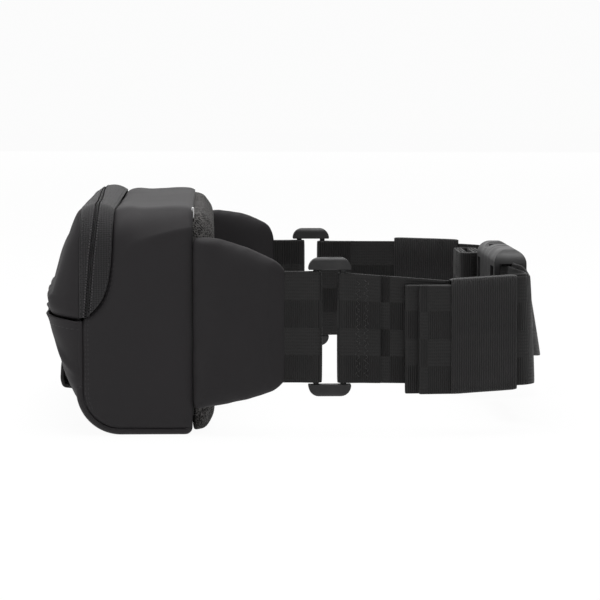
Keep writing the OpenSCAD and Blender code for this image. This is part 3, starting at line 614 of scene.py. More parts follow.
wing = inflate("wing_cover_right", ["wing_right"], 2.0, 2.4,
               lambda p: (p[:, 1] < 18.5) | ((p[:, 1] > 58) & (p[:, 2] > 27) & (p[:, 2] < 71)))
soften = wing.modifiers.new("soften", "SMOOTH")
soften.iterations = 10
bake_down(wing)
reshape(wing, wing_shape)
wing_nylon = cloth("wing_nylon", (0.0086, 0.0076, 0.0086), (0.0158, 0.0140, 0.0154), rough=0.66, sheen=0.0,
                   gloss=0.28, turn=(0, 1.5708, 0))
twin = smooth_object("wing_cover_left", wing.data.copy())
reshape(twin, far_wing)
twin.data.flip_normals()
for piece, node in ((wing, "wing_right"), (twin, "wing_left")):
    rounder(piece)
    fit(piece, "pack", "shell_nylon", wing_nylon, node)


# --- Seam binding -----------------------------------------------------------------------------------
# A narrow ribbed nylon tape, folded lengthways over the raw edges where the cover meets the back pad, and
# sewn down through all of them.
def hoop(count, low, out=0.0):
    """Points (x, z), outward normals and length gone round the pack's front view, from low on the right leg
    over the shoulders to low on the left leg, evenly spaced; out moves the points off the outline."""
    reach, top, arc = LEG_Z - low, 2 * FLAT_X, SHOULDER * np.pi / 2
    s = np.linspace(0, 2 * reach + 2 * arc + top, count)
    first = np.clip((s - reach) / SHOULDER, 0, np.pi / 2)
    turn = first + np.clip((s - reach - arc - top) / SHOULDER, 0, np.pi / 2)
    rest = np.where(s < reach + arc + top, FLAT_X - (s - reach - arc), -FLAT_X + SHOULDER * np.cos(turn))
    x = np.where(s < reach + arc, FLAT_X + SHOULDER * np.cos(first), rest)
    down = np.clip(s - reach - 2 * arc - top, 0, None)
    z = np.where(s < reach, low + s, LEG_Z + SHOULDER * np.sin(turn) - down)
    normal = stacked(np.cos(turn), np.sin(turn))
    return x + normal[:, 0] * out, z + normal[:, 1] * out, normal, s


def swept(centres, normals, lateral, section):
    """Grid of a closed section carried along a line: each section point (a, b) lies a along the lateral
    direction and b along the normal at every centre."""
    lateral = np.broadcast_to(lateral, centres.shape)
    return (centres[:, None, :] + section[None, :, :1] * lateral[:, None, :]
            + section[None, :, 1:2] * normals[:, None, :])


def squared(wave, power):
    """A sine or cosine raised to a power below 1, which squares off the ends of a round section."""
    return np.sign(wave) * np.abs(wave)**power


def rounded_bar(width, height, points=20, power=0.55):
    """Closed section of a flat strip: a circle stretched to width by height, with squared ends."""
    angle = np.linspace(0, 2 * np.pi, points, endpoint=False) + 0.01
    return stacked(width / 2 * squared(np.cos(angle), power), height / 2 * squared(np.sin(angle), power))


def ribbed(name, dark, pale, pitch, relief, rough=0.6, gloss=0.35, sheen=0.2, swing=0.28, knit=0.0):
    """Narrow woven goods with a rib across them every `pitch` millimetres along u, crossed by fine warp;
    swing is how far the ribs' colour goes from dark to pale, knit how strongly v breaks them into loops."""
    material, tree = blank(name)
    place = add(tree, "UVMap", uv_map="cloth")[0]
    split = add(tree, "SeparateXYZ", {0: place})
    rib, wale = (calc(tree, "SINE", calc(tree, "MULTIPLY", split[k], TURN / width))
                 for k, width in enumerate((pitch, 1.15)))
    rib = calc(tree, "ADD", calc(tree, "MULTIPLY", rib, 1 - knit), calc(tree, "MULTIPLY", wale, knit))
    thread, worn, _ = woven_and_worn(tree, place, pitch, 0.6, 0.02)
    tone = calc(tree, "ADD", calc(tree, "MULTIPLY_ADD", rib, swing, 0.1), calc(tree, "MULTIPLY", worn, 0.7))
    height = calc(tree, "ADD", calc(tree, "MULTIPLY", rib, 0.5), calc(tree, "MULTIPLY", thread, 0.3))
    finish(tree, {"Base Color": blend(tree, tone, dark, pale), "Roughness": rough,
                  "Specular IOR Level": gloss, "Sheen Weight": sheen, "Sheen Roughness": 0.4},
           height, relief, 0.8)
    return material


binding_tape = ribbed("binding_tape", (0.005, 0.005, 0.005), (0.010, 0.010, 0.010), 1.1, 0.12, gloss=0.2,
                      sheen=0.05)
x, z, normal, s = hoop(300, 9, out=-1.7)
section = rounded_bar(1.2, 1.8)
points = swept(lean(stacked(x, SEAM - 0.2, z)), stacked(normal[:, 0], 0.0, normal[:, 1]), [0, 1, 0], section)
uv = stacked(s[:, None], np.arange(1, len(section) + 1) * 0.6)
piece = surface("seam_tape", points, uv, ring=True, caps=True)
fit(piece, "pack", "binding_tape", binding_tape, "seam_binding")


# --- Zipper -----------------------------------------------------------------------------------------
# A reversed nylon coil zipper: two knitted tapes that meet over the coil in a narrow slit, each held down
# by rows of stitches. The band arches up like a lip over the top and lies almost flat down the sides.
zip_tape = ribbed("zip_tape", (0.0070, 0.0067, 0.0073), (0.031, 0.0295, 0.031), 1.0, 0.24, rough=0.7,
                  gloss=0.25, sheen=0.12, swing=0.45, knit=0.5)
IN_ZIP = (0, -25, 40)  # behind and below the whole band


def slit_at(z, x):
    """The slit leans back as it climbs the right leg, 4.6 mm from the fold to the top, and works its way
    forward again over the top, so that the left leg, where the slider runs, is nearly straight."""
    across = ease((x + FLAT_X) / (2 * FLAT_X))  # 0 on the left leg, 1 on the right
    return -29.9 + np.interp(z, [54, 83, 103], [0, 2.3, 4.6]) * (0.15 + 0.85 * across)


def half_band(side, columns, low):
    """Half of the band, behind the slit (side 1) or before it (side -1); columns run front to back. It
    arches by half a sine wave between its two seams, 3.1 mm high on top and 1.2 mm on the legs, and dips
    along the slit."""
    x, z, normal, s = hoop(420, low)
    slit = slit_at(z, x)
    if side > 0:
        front, rear = slit + 0.09, np.maximum(read(zip_edge, z), slit + 0.45) + 0.25
    else:
        front, rear = np.interp(z, [52, 85, 98, 103], [-33.3, -33.2, -32.8, -32.6]), slit - 0.09
    y = front[:, None] + np.linspace(0, 1, columns)[None, :] * (rear - front)[:, None]
    arch = np.sin(np.pi * np.clip((y + 33.6) / 15.4, 0, 1))**0.8
    up = ((1.2 + 1.9 * normal[:, 1:]**2) * arch - 0.3 * np.exp(-np.abs(y - slit[:, None]) / 0.4) - 0.25
          + undulate(y * 3, s[:, None], 12, 0.12))
    points = stacked(x[:, None] + normal[:, :1] * up, y, z[:, None] + normal[:, 1:] * up)
    return lean(points), stacked(s[:, None], y)


bands = []
for side, body, node, columns, low in ((1, "pack", "zip_tape_body", 22, 53.6),
                                       (-1, "flap", "zip_tape_flap", 12, 52.9)):
    points, uv = half_band(side, columns, low)
    piece = surface(node.replace("tape", "band"), points, uv, wall=1.1, inside=IN_ZIP)
    fit(piece, body, "zip_tape", zip_tape, node)
    bands.append((side, body, low, piece, points))

# A strip of lining cloth joins the tape, behind the coil, to the mouth of the inner bag.
x, z, normal, s = hoop(300, 53.8)
start_x, start_z = x - 1.9 * normal[:, 0], z - 1.9 * normal[:, 1]
end_z = np.minimum(z - 6, TOP - INNER - 1.6)
end_x = np.sign(x) * np.minimum(np.abs(x) - 6, 106.9 * drawn_in(end_z))
start = stacked(start_x, slit_at(z, x) + 2.4, start_z)
reach = stacked(end_x, -20.5, end_z) - start
points = start[:, None] + np.linspace(0, 1, 14)[None, :, None] * reach[:, None]
piece = surface("zip_facing", lean(points), stacked(s[:, None], points[..., 1]), wall=0.5, inside=IN_ZIP)
fit(piece, "pack", "lining_cloth", lining_cloth)

coil_nylon, tree = blank("zip_coil")
scuff = add(tree, "TexNoise", {"Vector": add(tree, "TexCoord")["Object"], "Scale": 500.0})[0]
finish(tree, {"Base Color": blend(tree, scuff, (0.008, 0.008, 0.008), (0.022, 0.022, 0.022)),
              "Roughness": calc(tree, "MULTIPLY_ADD", scuff, 0.2, 0.22)})


def coil(side):
    """One row of coil: an oval helix along the hoop under the tapes, with a pitch of 1.5 mm. The middle of
    its wire turns 2.4 mm wide and 1.1 mm deep. The two rows stand half a pitch apart, and so interlock."""
    x, z, normal, s = hoop(4200, 56, out=-2.35)
    turn = 2 * np.pi * s / 1.5 + (np.pi if side > 0 else 0)
    lift = 0.55 * np.sin(turn)
    line = lean(stacked(x + normal[:, 0] * lift, slit_at(z, x) + side * (1.0 - 1.2 * np.cos(turn)),
                        z + normal[:, 1] * lift))
    ahead = unit(np.gradient(line, axis=0))
    across = unit(np.cross(ahead, [0.0, 1.0, 0.001]))
    angle = np.linspace(0, 2 * np.pi, 5, endpoint=False)
    return swept(line, np.cross(ahead, across), across, 0.24 * stacked(np.cos(angle), np.sin(angle)))


for side, body, node in ((1, "pack", "zip_coil_body"), (-1, "flap", "zip_coil_flap")):
    piece = surface(node + "_turns", coil(side), ring=True, caps=True)
    fit(piece, body, "zip_coil", coil_nylon, node)


def stitches(name, body, slot, line, normals, pitch, length, width, material, sunk=0.05):
    """A row of stitches along a line: each is a six-sided grain, pointed at both ends, that lies along the
    line and stands half out of the cloth."""
    gone = gone_along(line)
    at = np.arange(pitch / 2, gone[-1], pitch)
    spot, out, after, before = (
        np.stack([np.interp(where, gone, v[:, k]) for k in range(3)], -1)
        for v, where in ((line, at), (normals, at), (line, at + 0.4), (line, at - 0.4)))
    ahead = unit(after - before)
    out = unit(out - (out * ahead).sum(1)[:, None] * ahead)
    across = np.cross(ahead, out)
    angle = np.linspace(0, 2 * np.pi, 6, endpoint=False)
    ring = stacked(0.0, np.cos(angle) * width / 2, np.sin(angle) * width / 2)
    grain = np.concatenate([[[-length / 2, 0, 0]], ring - [length * 0.3, 0, 0], ring + [length * 0.3, 0, 0],
                            [[length / 2, 0, 0]]])
    points = (spot[:, None] + out[:, None] * -sunk + grain[None, :, :1] * ahead[:, None]
              + grain[None, :, 1:2] * across[:, None] + grain[None, :, 2:] * out[:, None])
    pairs = [(k, (k + 1) % 6) for k in range(6)]
    faces = ([[0, 1 + b, 1 + a] for a, b in pairs] + [[1 + a, 1 + b, 7 + b, 7 + a] for a, b in pairs]
             + [[7 + a, 7 + b, 13] for a, b in pairs])
    mesh = bpy.data.meshes.new(name)
    mesh.from_pydata((points.reshape(-1, 3) * 0.001).tolist(), [],
                     [[v + len(grain) * n for v in face] for n in range(len(at)) for face in faces])
    shape = bmesh.new()
    shape.from_mesh(mesh)
    bmesh.ops.recalc_face_normals(shape, faces=shape.faces)
    shape.to_mesh(mesh)
    shape.free()
    return fit(smooth_object(name, mesh), body, slot, material)


def facing(points):
    """Normals of a grid of points, from the cross product of its two directions, turned away from the
    pack's middle."""
    normal = unit(np.cross(np.gradient(points, axis=0), np.gradient(points, axis=1)))
    away = ((points - [0, -8, 45]) * normal).sum(-1)
    return normal * np.where(away < 0, -1, 1)[..., None]


def along_band(band, low, offset):
    """Line on the band at a distance from the slit, with its normals, where the band reaches past it."""
    x, z = hoop(len(band), low)[:2]
    y = slit_at(z, x) + offset
    rows = [k for k in range(len(band)) if band[k, 0, 1] < y[k] < band[k, -1, 1] - 0.3]
    return [np.array([[np.interp(y[k], band[k, :, 1], grid[k, :, axis]) for axis in range(3)] for k in rows])
            for grid in (band, facing(band))]


# On each side of the slit run a column of near-black grains, painted shade that stands for the dark
# of each needle hole, and a column of short pale stitches, and a dim seam runs along each edge.
dim_thread = cloth("shell_thread", (0.012, 0.0115, 0.012), (0.024, 0.023, 0.024), 0.3, 0.3, 0.02, 0.55,
                   turn=(0, 0, 0))
# Painted shade: this near-black finish stands in for the shade inside each needle hole.
needle_hole_shade = cloth("needle_hole_shade", (0.0012, 0.0012, 0.0012), (0.003, 0.003, 0.003), 0.3, 0.3, 0.01, 0.9,
                    sheen=0, gloss=0.05, turn=(0, 0, 0))
zip_thread = cloth("zip_thread", (0.034, 0.032, 0.034), (0.060, 0.056, 0.060), 0.3, 0.3, 0.02, 0.6,
                   turn=(0, 0, 0))
for side, body, low, piece, band in bands:
    # The first column paints the shade in each needle hole; the second is pale thread.
    for kind, offset, material in (("hole_shade", 0.75, needle_hole_shade), ("stitch", 1.45, zip_thread)):
        line, normals = along_band(band, low, side * offset)
        stitches(f"zip_{kind}_{body}", body, "zip_tape", line, normals, 1.3, 0.72, 0.6, material, 0.02)
    column = 19 if side > 0 else 2
    stitches(f"zip_edge_{body}", body, "zip_tape", band[:, column], facing(band)[:, column], 1.9, 1.25, 0.35,
             dim_thread)
turned = facing(half[:SIDE_ROWS + 8])
for column, name in ((4, "near"), (6, "far")):
    line, normals = half[10:SIDE_ROWS, column], turned[10:SIDE_ROWS, column]
    for side, mirror in (("right", 1), ("left", flip)):
        stitches(f"cover_stitch_{side}_{name}", "pack", "shell_nylon", line * mirror, normals * mirror,
                 2.2, 1.5, 0.3, dim_thread)


# --- Flap and pouch ---------------------------------------------------------------------------------
# The front folds down on its lower lip. Behind is a flat lined panel, and on it sits a soft pouch of
# shell nylon, deepest along the lip, whose front leans back to the zipper.
depth_at = flowing([(52.0, 15.0), (55.5, 15.9), (59, 16.2), (61.2, 15.8), (63.0, 14.0), (66.3, 12.9),
                    (73.5, 10.9), (80.7, 9.0), (87, 6.6), (94, 3.0), (101, 0.6), (110, 0.4)])
FLAP_Y = -32.9  # plane of the flap's seam


def rounded_ring(half_w, low, high, r_top, r_low):
    """Rectangle between low and high with its own upper and lower corner radii, as one closed line of 360
    points spaced evenly by length, from the middle of the lower edge."""
    quarter = np.radians(np.linspace(0, 90, 16))
    right = np.concatenate([
        [[0, low]],
        stacked(half_w - r_low + r_low * np.sin(quarter), low + r_low - r_low * np.cos(quarter)),
        stacked(half_w - r_top + r_top * np.cos(quarter), high - r_top + r_top * np.sin(quarter)),
        [[0, high]]])
    line = np.concatenate([right, right[-2:0:-1] * [-1, 1], right[:1]])
    gone = gone_along(line)
    s = np.linspace(0, gone[-1], 360, endpoint=False)
    return stacked(np.interp(s, gone, line[:, 0]), np.interp(s, gone, line[:, 1]))


def closing(half_w, low, high, r_low, shares):
    """Rounded rings, one for each share, that shrink from the full size to a line along the middle."""
    half_h = (high - low) / 2
    return [rounded_ring(half_w - half_h * share, low + half_h * share, high - half_h * share,
                         15 * (1 - share), r_low * (1 - share)) for share in shares]


def bowed(x, y):
    """The front bellies out in the middle: depth falls by a fifth from the middle to x 100."""
    return FRONT + (y - FRONT) * (1 - 0.21 * (x / 100)**2)


def pouch():
    """Rings from the zipper's seam to the middle of the front: over the first 18 the wall turns forward on
    a quarter ellipse, and the rest shrink to a line. Depth follows the side view at each height; the
    floor rises towards the lip."""
    wall = np.radians(np.linspace(0, 90, 18))
    rings = [rounded_ring(112.6 - 12.2 * inset, 51.2 + 1.2 * inset, 103.5 - 6.1 * inset, 16 - inset,
                          4 + 3 * inset) for inset in 1 - np.cos(wall)]
    rings += closing(100.4, 52.4, 97.4, 7, np.linspace(0, 1, 16)[1:])
    forward = np.concatenate([np.sin(wall), np.ones(15)])[:, None]
    x, z = np.moveaxis(np.array(rings), -1, 0)
    puff = undulate(x, z * 1.4, 41, 0.75, 26, 90) * forward
    y = FLAP_Y + (bowed(x, FRONT - read(depth_at, z) - puff) - FLAP_Y) * forward
    z = z + (-33.0 - y) * 0.13 * ease((68 - z) / 14)
    return lean(stacked(x, y, z)), stacked(x, z)


points, uv = pouch()
piece = surface("pouch_cover", points, uv, wall=1.2, ring=True, inside=(0, -33, 75))
fit(piece, "flap", "shell_nylon", nylon, "flap_pouch")

x, z = np.moveaxis(np.array(closing(111.4, 53.6, 101.0, 4, np.linspace(0, 1, 26))), -1, 0)
y = -32.6 + 0.9 * (1 - np.exp(-np.linspace(0, 26, 26)[:, None] / 3)) + undulate(x, z, 43, 0.35)
piece = surface("flap_liner", lean(stacked(x, y, z)), stacked(x, z), wall=1.0, ring=True, inside=(0, -60, 75))
fit(piece, "flap", "lining_cloth", lining_cloth, "flap_panel")


# --- Lower pocket -----------------------------------------------------------------------------------
# An open slip pocket of the shell nylon under the flap: one cut bellows out from the sides and the toe,
# with a folded hem along its upper edge.
pocket_depth = flowing([(12, 0.2), (19.3, 2.8), (27, 6.0), (33.8, 8.0), (37.4, 8.9), (41, 10.2), (44.6, 11.8),
                        (48.2, 13.0), (51.4, 14.6), (58, 16)])
POCKET_X, CORNER_X = 112.3, 19.3  # gusset seam, and how far in the corners reach


def pocket():
    """Rows climb from the toe to the hem. In plan each row leaves the gusset seam, turns the corner on a
    superellipse as deep as the side view says, and crosses the front, bowed like the pouch. A slanting
    fold runs down each corner."""
    z = np.linspace(13.0, 50.9, 44)[:, None]
    turn = POCKET_X - CORNER_X * (1 - np.cos(np.radians(np.linspace(0, 90, 28))))
    x = np.concatenate([turn, np.linspace(93, -93, 206)[1:-1], -turn[::-1]])[None, :]
    reach = (1 - np.clip((np.abs(x) - 93) / CORNER_X, 0, 1)**2.2)**(1 / 2.2)
    depth = read(pocket_depth, z) * (1.12 - 0.21 * (x / 100)**2)
    toe_y = np.where(z < 24, -11 - np.sqrt(np.clip(24**2 - (24 - z)**2, 0, None)), FRONT)
    loose = undulate(x, z * 1.5, 52, 0.6, 20, 80) * ease((z - 15) / 10)
    fold = 2.0 * np.exp(-((z - 29 - (112 - np.abs(x)) * 0.8) / 2.4)**2) * ease((np.abs(x) - 92) / 14)
    y = toe_y + 2.4 - (depth + loose + 3.0) * reach - fold * 0.6 * reach
    wide = x + np.sign(x) * np.minimum(fold * 0.5 * np.sin(np.pi * np.clip(reach, 0, 1)), 113.2 - np.abs(x))
    z = z + (-33.0 - y) * 0.15 * ease((z - 38) / 13)
    return stacked(wide, y, z), stacked(x, z * 1.1)


points, uv = pocket()
piece = surface("pocket_cover", points, uv, wall=1.0, inside=(0, -20, 30))
fit(piece, "pack", "shell_nylon", nylon, "lower_pocket")
HEM_ROW = 39
stitches("pocket_hem_stitch", "pack", "shell_nylon", points[HEM_ROW], facing(points)[HEM_ROW], 2.6, 1.8, 0.3,
         dim_thread, 0.08)


def cross_strip(x, path, section):
    """Strip whose length follows a path in side view (y, z) and whose width runs along X, middle at x."""
    ahead = unit(np.gradient(path, axis=0))
    return swept(stacked(x, path[:, 0], path[:, 1]), stacked(0.0, -ahead[:, 1], ahead[:, 0]), [1, 0, 0],
                 section)


webbing_narrow = ribbed("narrow_webbing", (0.007, 0.0067, 0.007), (0.017, 0.0163, 0.0167), 0.9, 0.14,
                        gloss=0.28, sheen=0.06)
path = flowing([(-38.2, 35.0), (-40.6, 33.6), (-41.8, 30.6), (-42.4, 25.4), (-42.4, 21.4), (-41.6, 19.4),
                (-39.2, 18.9), (-34.5, 18.9)], 70)
section = rounded_bar(22, 2.2, 24, 0.3)
for side, name in ((1, "lash_loop_right"), (-1, "lash_loop_left")):
    piece = surface(name + "_strap", cross_strip(73.0, path, section) * [side, 1, 1],
                    stacked(np.linspace(0, 34, 70)[:, None], section[:, 0]), ring=True, caps=True)
    fit(piece, "pack", "webbing", webbing_narrow, name)


# --- Webbing ----------------------------------------------------------------------------------------
# 50 mm black nylon webbing. Its weave changes in blocks: fine ribs across the strap, and smoother, paler
# blocks ribbed along it, in a plain checker.
webbing, tree = blank("webbing")
place = add(tree, "UVMap", uv_map="cloth")[0]
split = add(tree, "SeparateXYZ", {0: place})
cell = [calc(tree, "FLOOR", calc(tree, "DIVIDE", split[k], size)) for k, size in enumerate((25.0, 12.4))]
block = calc(tree, "FLOORED_MODULO", calc(tree, "ADD", *cell), 2.0)
across, lengthwise = (calc(tree, "SINE", calc(tree, "MULTIPLY", split[k], TURN / width))
                      for k, width in enumerate((0.95, 1.45)))
ribs = add(tree, "Mix", {0: calc(tree, "MULTIPLY", block, 0.55), 2: across, 3: lengthwise},
           data_type="FLOAT")[0]
ribs = calc(tree, "MULTIPLY", ribs, calc(tree, "MULTIPLY_ADD", block, -0.45, 1.0))
used = add(tree, "Group", {"Place": add(tree, "TexCoord")["Object"], "Patch size": 0.015}, node_tree=wear)
tone = calc(tree, "ADD", calc(tree, "MULTIPLY_ADD", block, 0.08, 0.08),
            calc(tree, "MULTIPLY_ADD", ribs, 0.3, calc(tree, "MULTIPLY", used[0], 0.45)))
finish(tree, {"Base Color": blend(tree, tone, (0.0050, 0.0048, 0.0048), (0.0185, 0.0176, 0.0176)),
              "Roughness": calc(tree, "MULTIPLY_ADD", block, -0.05, 0.60), "Specular IOR Level": 0.28,
              "Sheen Weight": 0.05, "Sheen Roughness": 0.4}, ribs, 0.18, 0.8)
WEB_T, EYE = 1.3, 1.6  # thickness, and inner radius of an eye on a ring


def trace(start, heading, moves, side=1):
    """Line in plan drawn like a pen: (length,) goes straight, (radius, angle) turns, left where the angle
    is positive. Gives points some 0.6 mm apart, their directions and the length gone. Side -1 mirrors the
    line to the left of the pack."""
    at, angle, step = np.array(start, float), np.radians(heading), 0.6
    parts, angles = [], []
    for move in moves:
        if len(move) == 1:
            t = np.arange(step / 2, move[0], step)
            ahead = np.array([np.cos(angle), np.sin(angle)])
            parts.append(at + t[:, None] * ahead)
            angles.append(np.full(len(t), angle))
            at = at + move[0] * ahead
        else:
            radius, sweep = move[0], np.radians(move[1])
            fine = min(step, radius * 0.22)
            t = np.arange(fine / 2, radius * abs(sweep), fine) / radius * np.sign(sweep)
            arm = np.sign(sweep) * radius
            centre = at + arm * np.array([-np.sin(angle), np.cos(angle)])
            parts.append(centre + arm * stacked(np.sin(angle + t), -np.cos(angle + t)))
            angles.append(angle + t)
            angle += sweep
            at = centre + arm * np.array([np.sin(angle), -np.cos(angle)])
    line, bearing = np.concatenate(parts), np.concatenate(angles)
    gone = gone_along(line)
    return (line, bearing, gone) if side > 0 else (line * [-1, 1], np.pi - bearing, gone)


def level(line):
    """No sag or twist anywhere along a line."""
    return np.zeros(len(line))


def strap(name, traced, low, width=50.0, sag=level, offset=0.0, twist=level, grip=1.0):
    """Webbing carried along a traced line: a flat section that stands on edge from `low` up, a little
    thinner at its selvedges; sag(line) lowers it, its lower edge by the share grip, and twist(line) tips it
    about its upper edge."""
    line, bearing, gone = traced
    turn = np.linspace(0, 2 * np.pi, 44, endpoint=False)[None, :] + 0.01
    high = width / 2 * squared(np.cos(turn), 0.7)
    thick = WEB_T / 2 * squared(np.sin(turn), 0.25)
    depth = (thick + undulate(gone[:, None], high, 61, 0.10, 14, 60)
             + twist(line)[:, None] * (high - width / 2))
    z = low + width / 2 + high - sag(line)[:, None] * (grip + (1 - grip) * (0.5 + high / width))
    x, y = line[:, :1] - np.sin(bearing)[:, None] * depth, line[:, 1:] + np.cos(bearing)[:, None] * depth
    uv = stacked(gone[:, None] + offset, high + width / 2)
    return surface(name, stacked(x, y, z), uv, ring=True, caps=True)


eye = [(25, 11), (5.24,), (EYE + WEB_T / 2, -202), (5.24,), (25, 11)]  # 10.4 mm from flat webbing to a bar
for side, name in ((1, "wing_strap_right"), (-1, "wing_strap_left")):
    traced = trace((RING_X - 0.75, 56.5), 90, [(5.5,)] + eye + [(5.5,)], side)
    piece = strap(name + "_webbing", traced, 23.4, offset=7 + 30 * side)
    fit(piece, "pack", "webbing", webbing, name)

BAR_OUT, END_Y = 84.6, 164.1  # the rings' outer bars, and the buckle's middle plane
TILT = 4.0  # each side of the belt leans in by this angle
tilt_x, tilt_y = -np.sin(np.radians(TILT)), np.cos(np.radians(TILT))
EYE_L = 10.4  # length that the eye takes from a straight run


def side_point(out, along, side=1):
    """Point in plan, out millimetres outside a side run's main layer and along it from the ring's bar."""
    return np.array([side * (RING_X + out * tilt_y + along * tilt_x),
                     BAR_OUT + out * -tilt_x + along * tilt_y])


# The right run starts with its sewn end, turns round the ring's bar, follows the side and the tight
# corner, drops in a slack S-bend to the plug, and comes back round the plug's bar.
SIDE_L, CORNER, SWELL, SWELL_TURN = 76.95, 8.0, 31.18, 22.36
plug_eye = [(20, 18), (3.71,), (2.95, -216), (3.71,), (20, 18)]
traced = trace(side_point(0.68, 17), 270 + TILT,
               [(6.6,)] + eye + [(SIDE_L - EYE_L,), (CORNER - WEB_T / 2, 90 - TILT), (1.0,),
                                 (SWELL, SWELL_TURN), (SWELL, -SWELL_TURN), (2.8,)] + plug_eye + [(2.2,)])
piece = strap("belt_right_webbing", traced, 23.2, 49.4, offset=5, grip=0.3,
              sag=lambda p: 3.8 * np.clip((p[:, 1] - 86) / 46, 0, 1) * (1 - 0.7 * ease((p[:, 1] - 134) / 30))
              * ease((p[:, 0] - 74) / 26))
fit(piece, "belt", "webbing", webbing, "belt_right")

# Its surplus lies on the outside, back round the corner, and is folded to and fro into a bundle whose
# free folds sag and fan out a little.
traced = trace((73.1, END_Y + 0.85), 0,
               [(0.3,), (SWELL - 1.5, SWELL_TURN), (SWELL + 1.5, -SWELL_TURN), (1.0,),
                (CORNER + 0.85, TILT - 90), (SIDE_L - 29,), (0.78, 180), (SIDE_L - 31,), (0.78, -180),
                (SIDE_L - 37,), (0.78, 180), (SIDE_L - 38,)])
piece = strap("belt_surplus_right_webbing", traced, 22.3, 49.0, offset=18,
              sag=lambda p: (0.9 + 3.2 * (1 - ease((p[:, 1] - 134) / 30))) * ease((p[:, 0] - 74) / 26)
              - 3 * ease((98 - p[:, 0]) / 14),
              twist=lambda p: -0.045 * ease((p[:, 1] - 150) / 14))
fit(piece, "belt", "webbing", webbing, "belt_surplus_right")

# The left run bows out wide before an S-bend takes it into the socket.
BOW_SIDE, BOW_X, BOW_R, BOW_TURN = 71.17, 76.61, 14, 69.3
socket_eye = [(20, -18), (3.71,), (2.95, 216), (3.71,), (20, -18)]
run = BOW_X - 10.9 - 2 * BOW_R * np.sin(np.radians(BOW_TURN))
traced = trace(side_point(0.68, 17), 270 + TILT,
               [(6.6,)] + eye + [(BOW_SIDE - EYE_L,), (29.35, 90 - TILT), (run,), (BOW_R, BOW_TURN),
                                 (BOW_R, -BOW_TURN), (2.3,)] + socket_eye + [(2.2,)], -1)
piece = strap("belt_left_webbing", traced, 22.9, offset=11,
              sag=lambda p: (0.045 * np.clip(p[:, 1] - 128, 0, 44) + 1.4 * ease((p[:, 1] - 165) / 20))
              * ease((-12 - p[:, 0]) / 26),
              twist=lambda p: -0.17 * ease((p[:, 1] - 150) / 26) * ease((-14 - p[:, 0]) / 10))
fit(piece, "belt", "webbing", webbing, "belt_left")

# The left free end is wound into a flat roll on the inner side of the belt.
LEAD_R, LEAD_TURN, FLAT_L = 4, 58.76, 32  # S-bend into the roll, and the roll's flat length
moves = [(0.4,), (LEAD_R, -LEAD_TURN), (LEAD_R, LEAD_TURN),
         (41.7 - 2 * LEAD_R * np.sin(np.radians(LEAD_TURN)),)]
for turn in range(3):
    moves += [(5 - 1.5 * turn, -180), (FLAT_L,)]
    if turn < 2:
        moves += [(4.25 - 1.5 * turn, -180), (FLAT_L,)]
piece = strap("belt_roll_left_webbing", trace((10.9, END_Y - 0.68), 0, moves, -1), 22.9, offset=2)
fit(piece, "belt", "webbing", webbing, "belt_roll_left")


def bar_tacks(side, station):
    """A line of zigzag stitching up the webbing, with normals: 30 stitches lean left and right in turn,
    0.9 mm each way of a station, where the outer layer swells by half a millimetre towards the eye."""
    k = np.arange(30)
    along = station + np.where(k % 2, -0.9, 0.9)
    at = [side_point(1.4 + 0.5 * max(0, (EYE_L - a) / 4.8)**2, a, side) for a in along]
    return np.column_stack([at, 25.9 + k * 1.5]), np.tile([side * tilt_y, -tilt_x, 0], (len(k), 1))


tack_thread = cloth("webbing_thread", (0.014, 0.0135, 0.0135), (0.038, 0.0365, 0.0365), 0.3, 0.3, 0.02, 0.55,
                    gloss=0.3, sheen=0.05, turn=(0, 0, 0))
for side, name in ((1, "right"), (-1, "left")):
    for number, station in enumerate((6.4, 10.2)):
        line, normals = bar_tacks(side, station)
        stitches(f"belt_tack_{name}_{number}", "belt", "webbing", line, normals, 1.75, 1.5, 0.4, tack_thread)


# --- Keepers ----------------------------------------------------------------------------------------
# Flat sleeves of ribbed elastic, each a strip sewn into a loop. One is stretched round the folded surplus
# on the right, and one round the left run.
elastic = ribbed("ribbed_elastic", (0.0045, 0.0042, 0.0044), (0.0200, 0.0190, 0.0194), 1.0, 0.3, rough=0.58,
                 gloss=0.3, sheen=0.05, swing=0.5)


def sleeve(name, side, along, out, height, middles, length):
    """Sleeve round a stack that reaches `out` outside the main layer, 15 mm on the ring's side of `along`:
    a rounded rectangle in section, its middle at one height at each end, with soft ends that turn in."""
    s = np.linspace(-15, length - 15, 34)[:, None]
    end = np.exp((-15 - s) / 0.8) + np.exp((s + 15 - length) / 0.8)
    high, thick = rounded_bar(height, out + WEB_T, 72, 0.24).T[:, None]
    grow = 1.15 - 0.35 * end + undulate(s, high, 71, 0.10, 12, 40)
    b = (out - WEB_T) / 2 + thick * (1 + 2 * grow / (out + WEB_T))
    x, y = side_point(b, along + s, side)
    z = high * (1 + 1.8 * grow / height) + np.interp(s, [-15, length - 15], middles)
    return surface(name, stacked(x, y, z), stacked(s, np.arange(1, 73) * 1.7), wall=0.8, ring=True)


for side, name, along, out, height, middles, length in (
        (1, "keeper_right", SIDE_L - 14, 5.95, 49.6, (43.8, 45.5), 30),
        (-1, "keeper_left", BOW_SIDE - 18, 2.1, 51.6, (47.9, 46.9), 34)):
    piece = sleeve(name + "_sleeve", side, along, out, height, middles, length)
    fit(piece, name, "elastic", elastic, name)


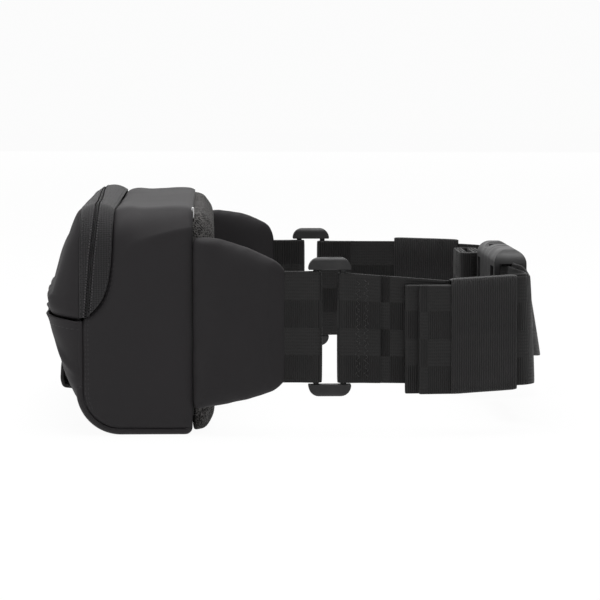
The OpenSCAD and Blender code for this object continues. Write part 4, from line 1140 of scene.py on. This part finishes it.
# --- Moulded parts and slider -----------------------------------------------------------------------
# The rings and the buckle are black acetal with a fine spark-eroded grain and a few rubbed places; the
# slider and its pull are die-cast and enamelled.
def moulded(name, base, rubbed, rough, grain, gloss):
    """Hard material: paler and smoother where it is rubbed, over a fine noise `grain` millimetres high."""
    material, tree = blank(name)
    where = add(tree, "TexCoord")["Object"]
    texture = add(tree, "TexNoise", {"Vector": where, "Scale": 2600.0, "Detail": 3.0})[0]
    used = add(tree, "Group", {"Place": where, "Patch size": 0.012}, node_tree=wear)
    rub = add(tree, "MapRange", {0: used[0], 1: 0.45, 2: 0.75})[0]
    finish(tree, {"Base Color": blend(tree, calc(tree, "MULTIPLY_ADD", used[1], 0.3, rub), base, rubbed),
                  "Roughness": calc(tree, "MULTIPLY_ADD", rub, -0.1, rough), "Specular IOR Level": gloss},
           texture, grain, 0.5)
    return material


acetal = moulded("moulded_acetal", (0.011, 0.0108, 0.0112), (0.022, 0.0215, 0.022), 0.55, 0.05, 0.42)
enamel = moulded("black_enamel", (0.007, 0.007, 0.007), (0.016, 0.016, 0.016), 0.28, 0.02, 0.6)
for material, nodes in ((acetal, ("ring_right", "ring_left", "buckle_socket", "buckle_plug", "prong_upper",
                                  "prong_lower")), (enamel, ("zip_slider", "zip_pull"))):
    for node in nodes:
        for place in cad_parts[node].material_slots:
            place.material = material


# --- Seam tab ---------------------------------------------------------------------------------------
# A blank tab of white woven tape, folded double, with both its ends caught in the back seam near the right
# end of the top.
tab_cloth = cloth("tab_cloth", (0.55, 0.55, 0.55), (0.70, 0.70, 0.70), 0.35, 0.35, 0.02, 0.6, turn=(0, 0, 0))
path = flowing([(0.0, 0.0), (0.02, 1.5), (0.08, 2.3), (0.32, 2.6), (0.56, 2.3), (0.62, 1.5), (0.64, 0.0)], 24)
points = cross_strip(100.0, path * [1, 1.7] + [SEAM, 96.9], rounded_bar(6, 0.6, 16, 0.3))
piece = surface("seam_tab", points, ring=True, caps=True)
fit(piece, "pack", "binding_tape", tab_cloth)
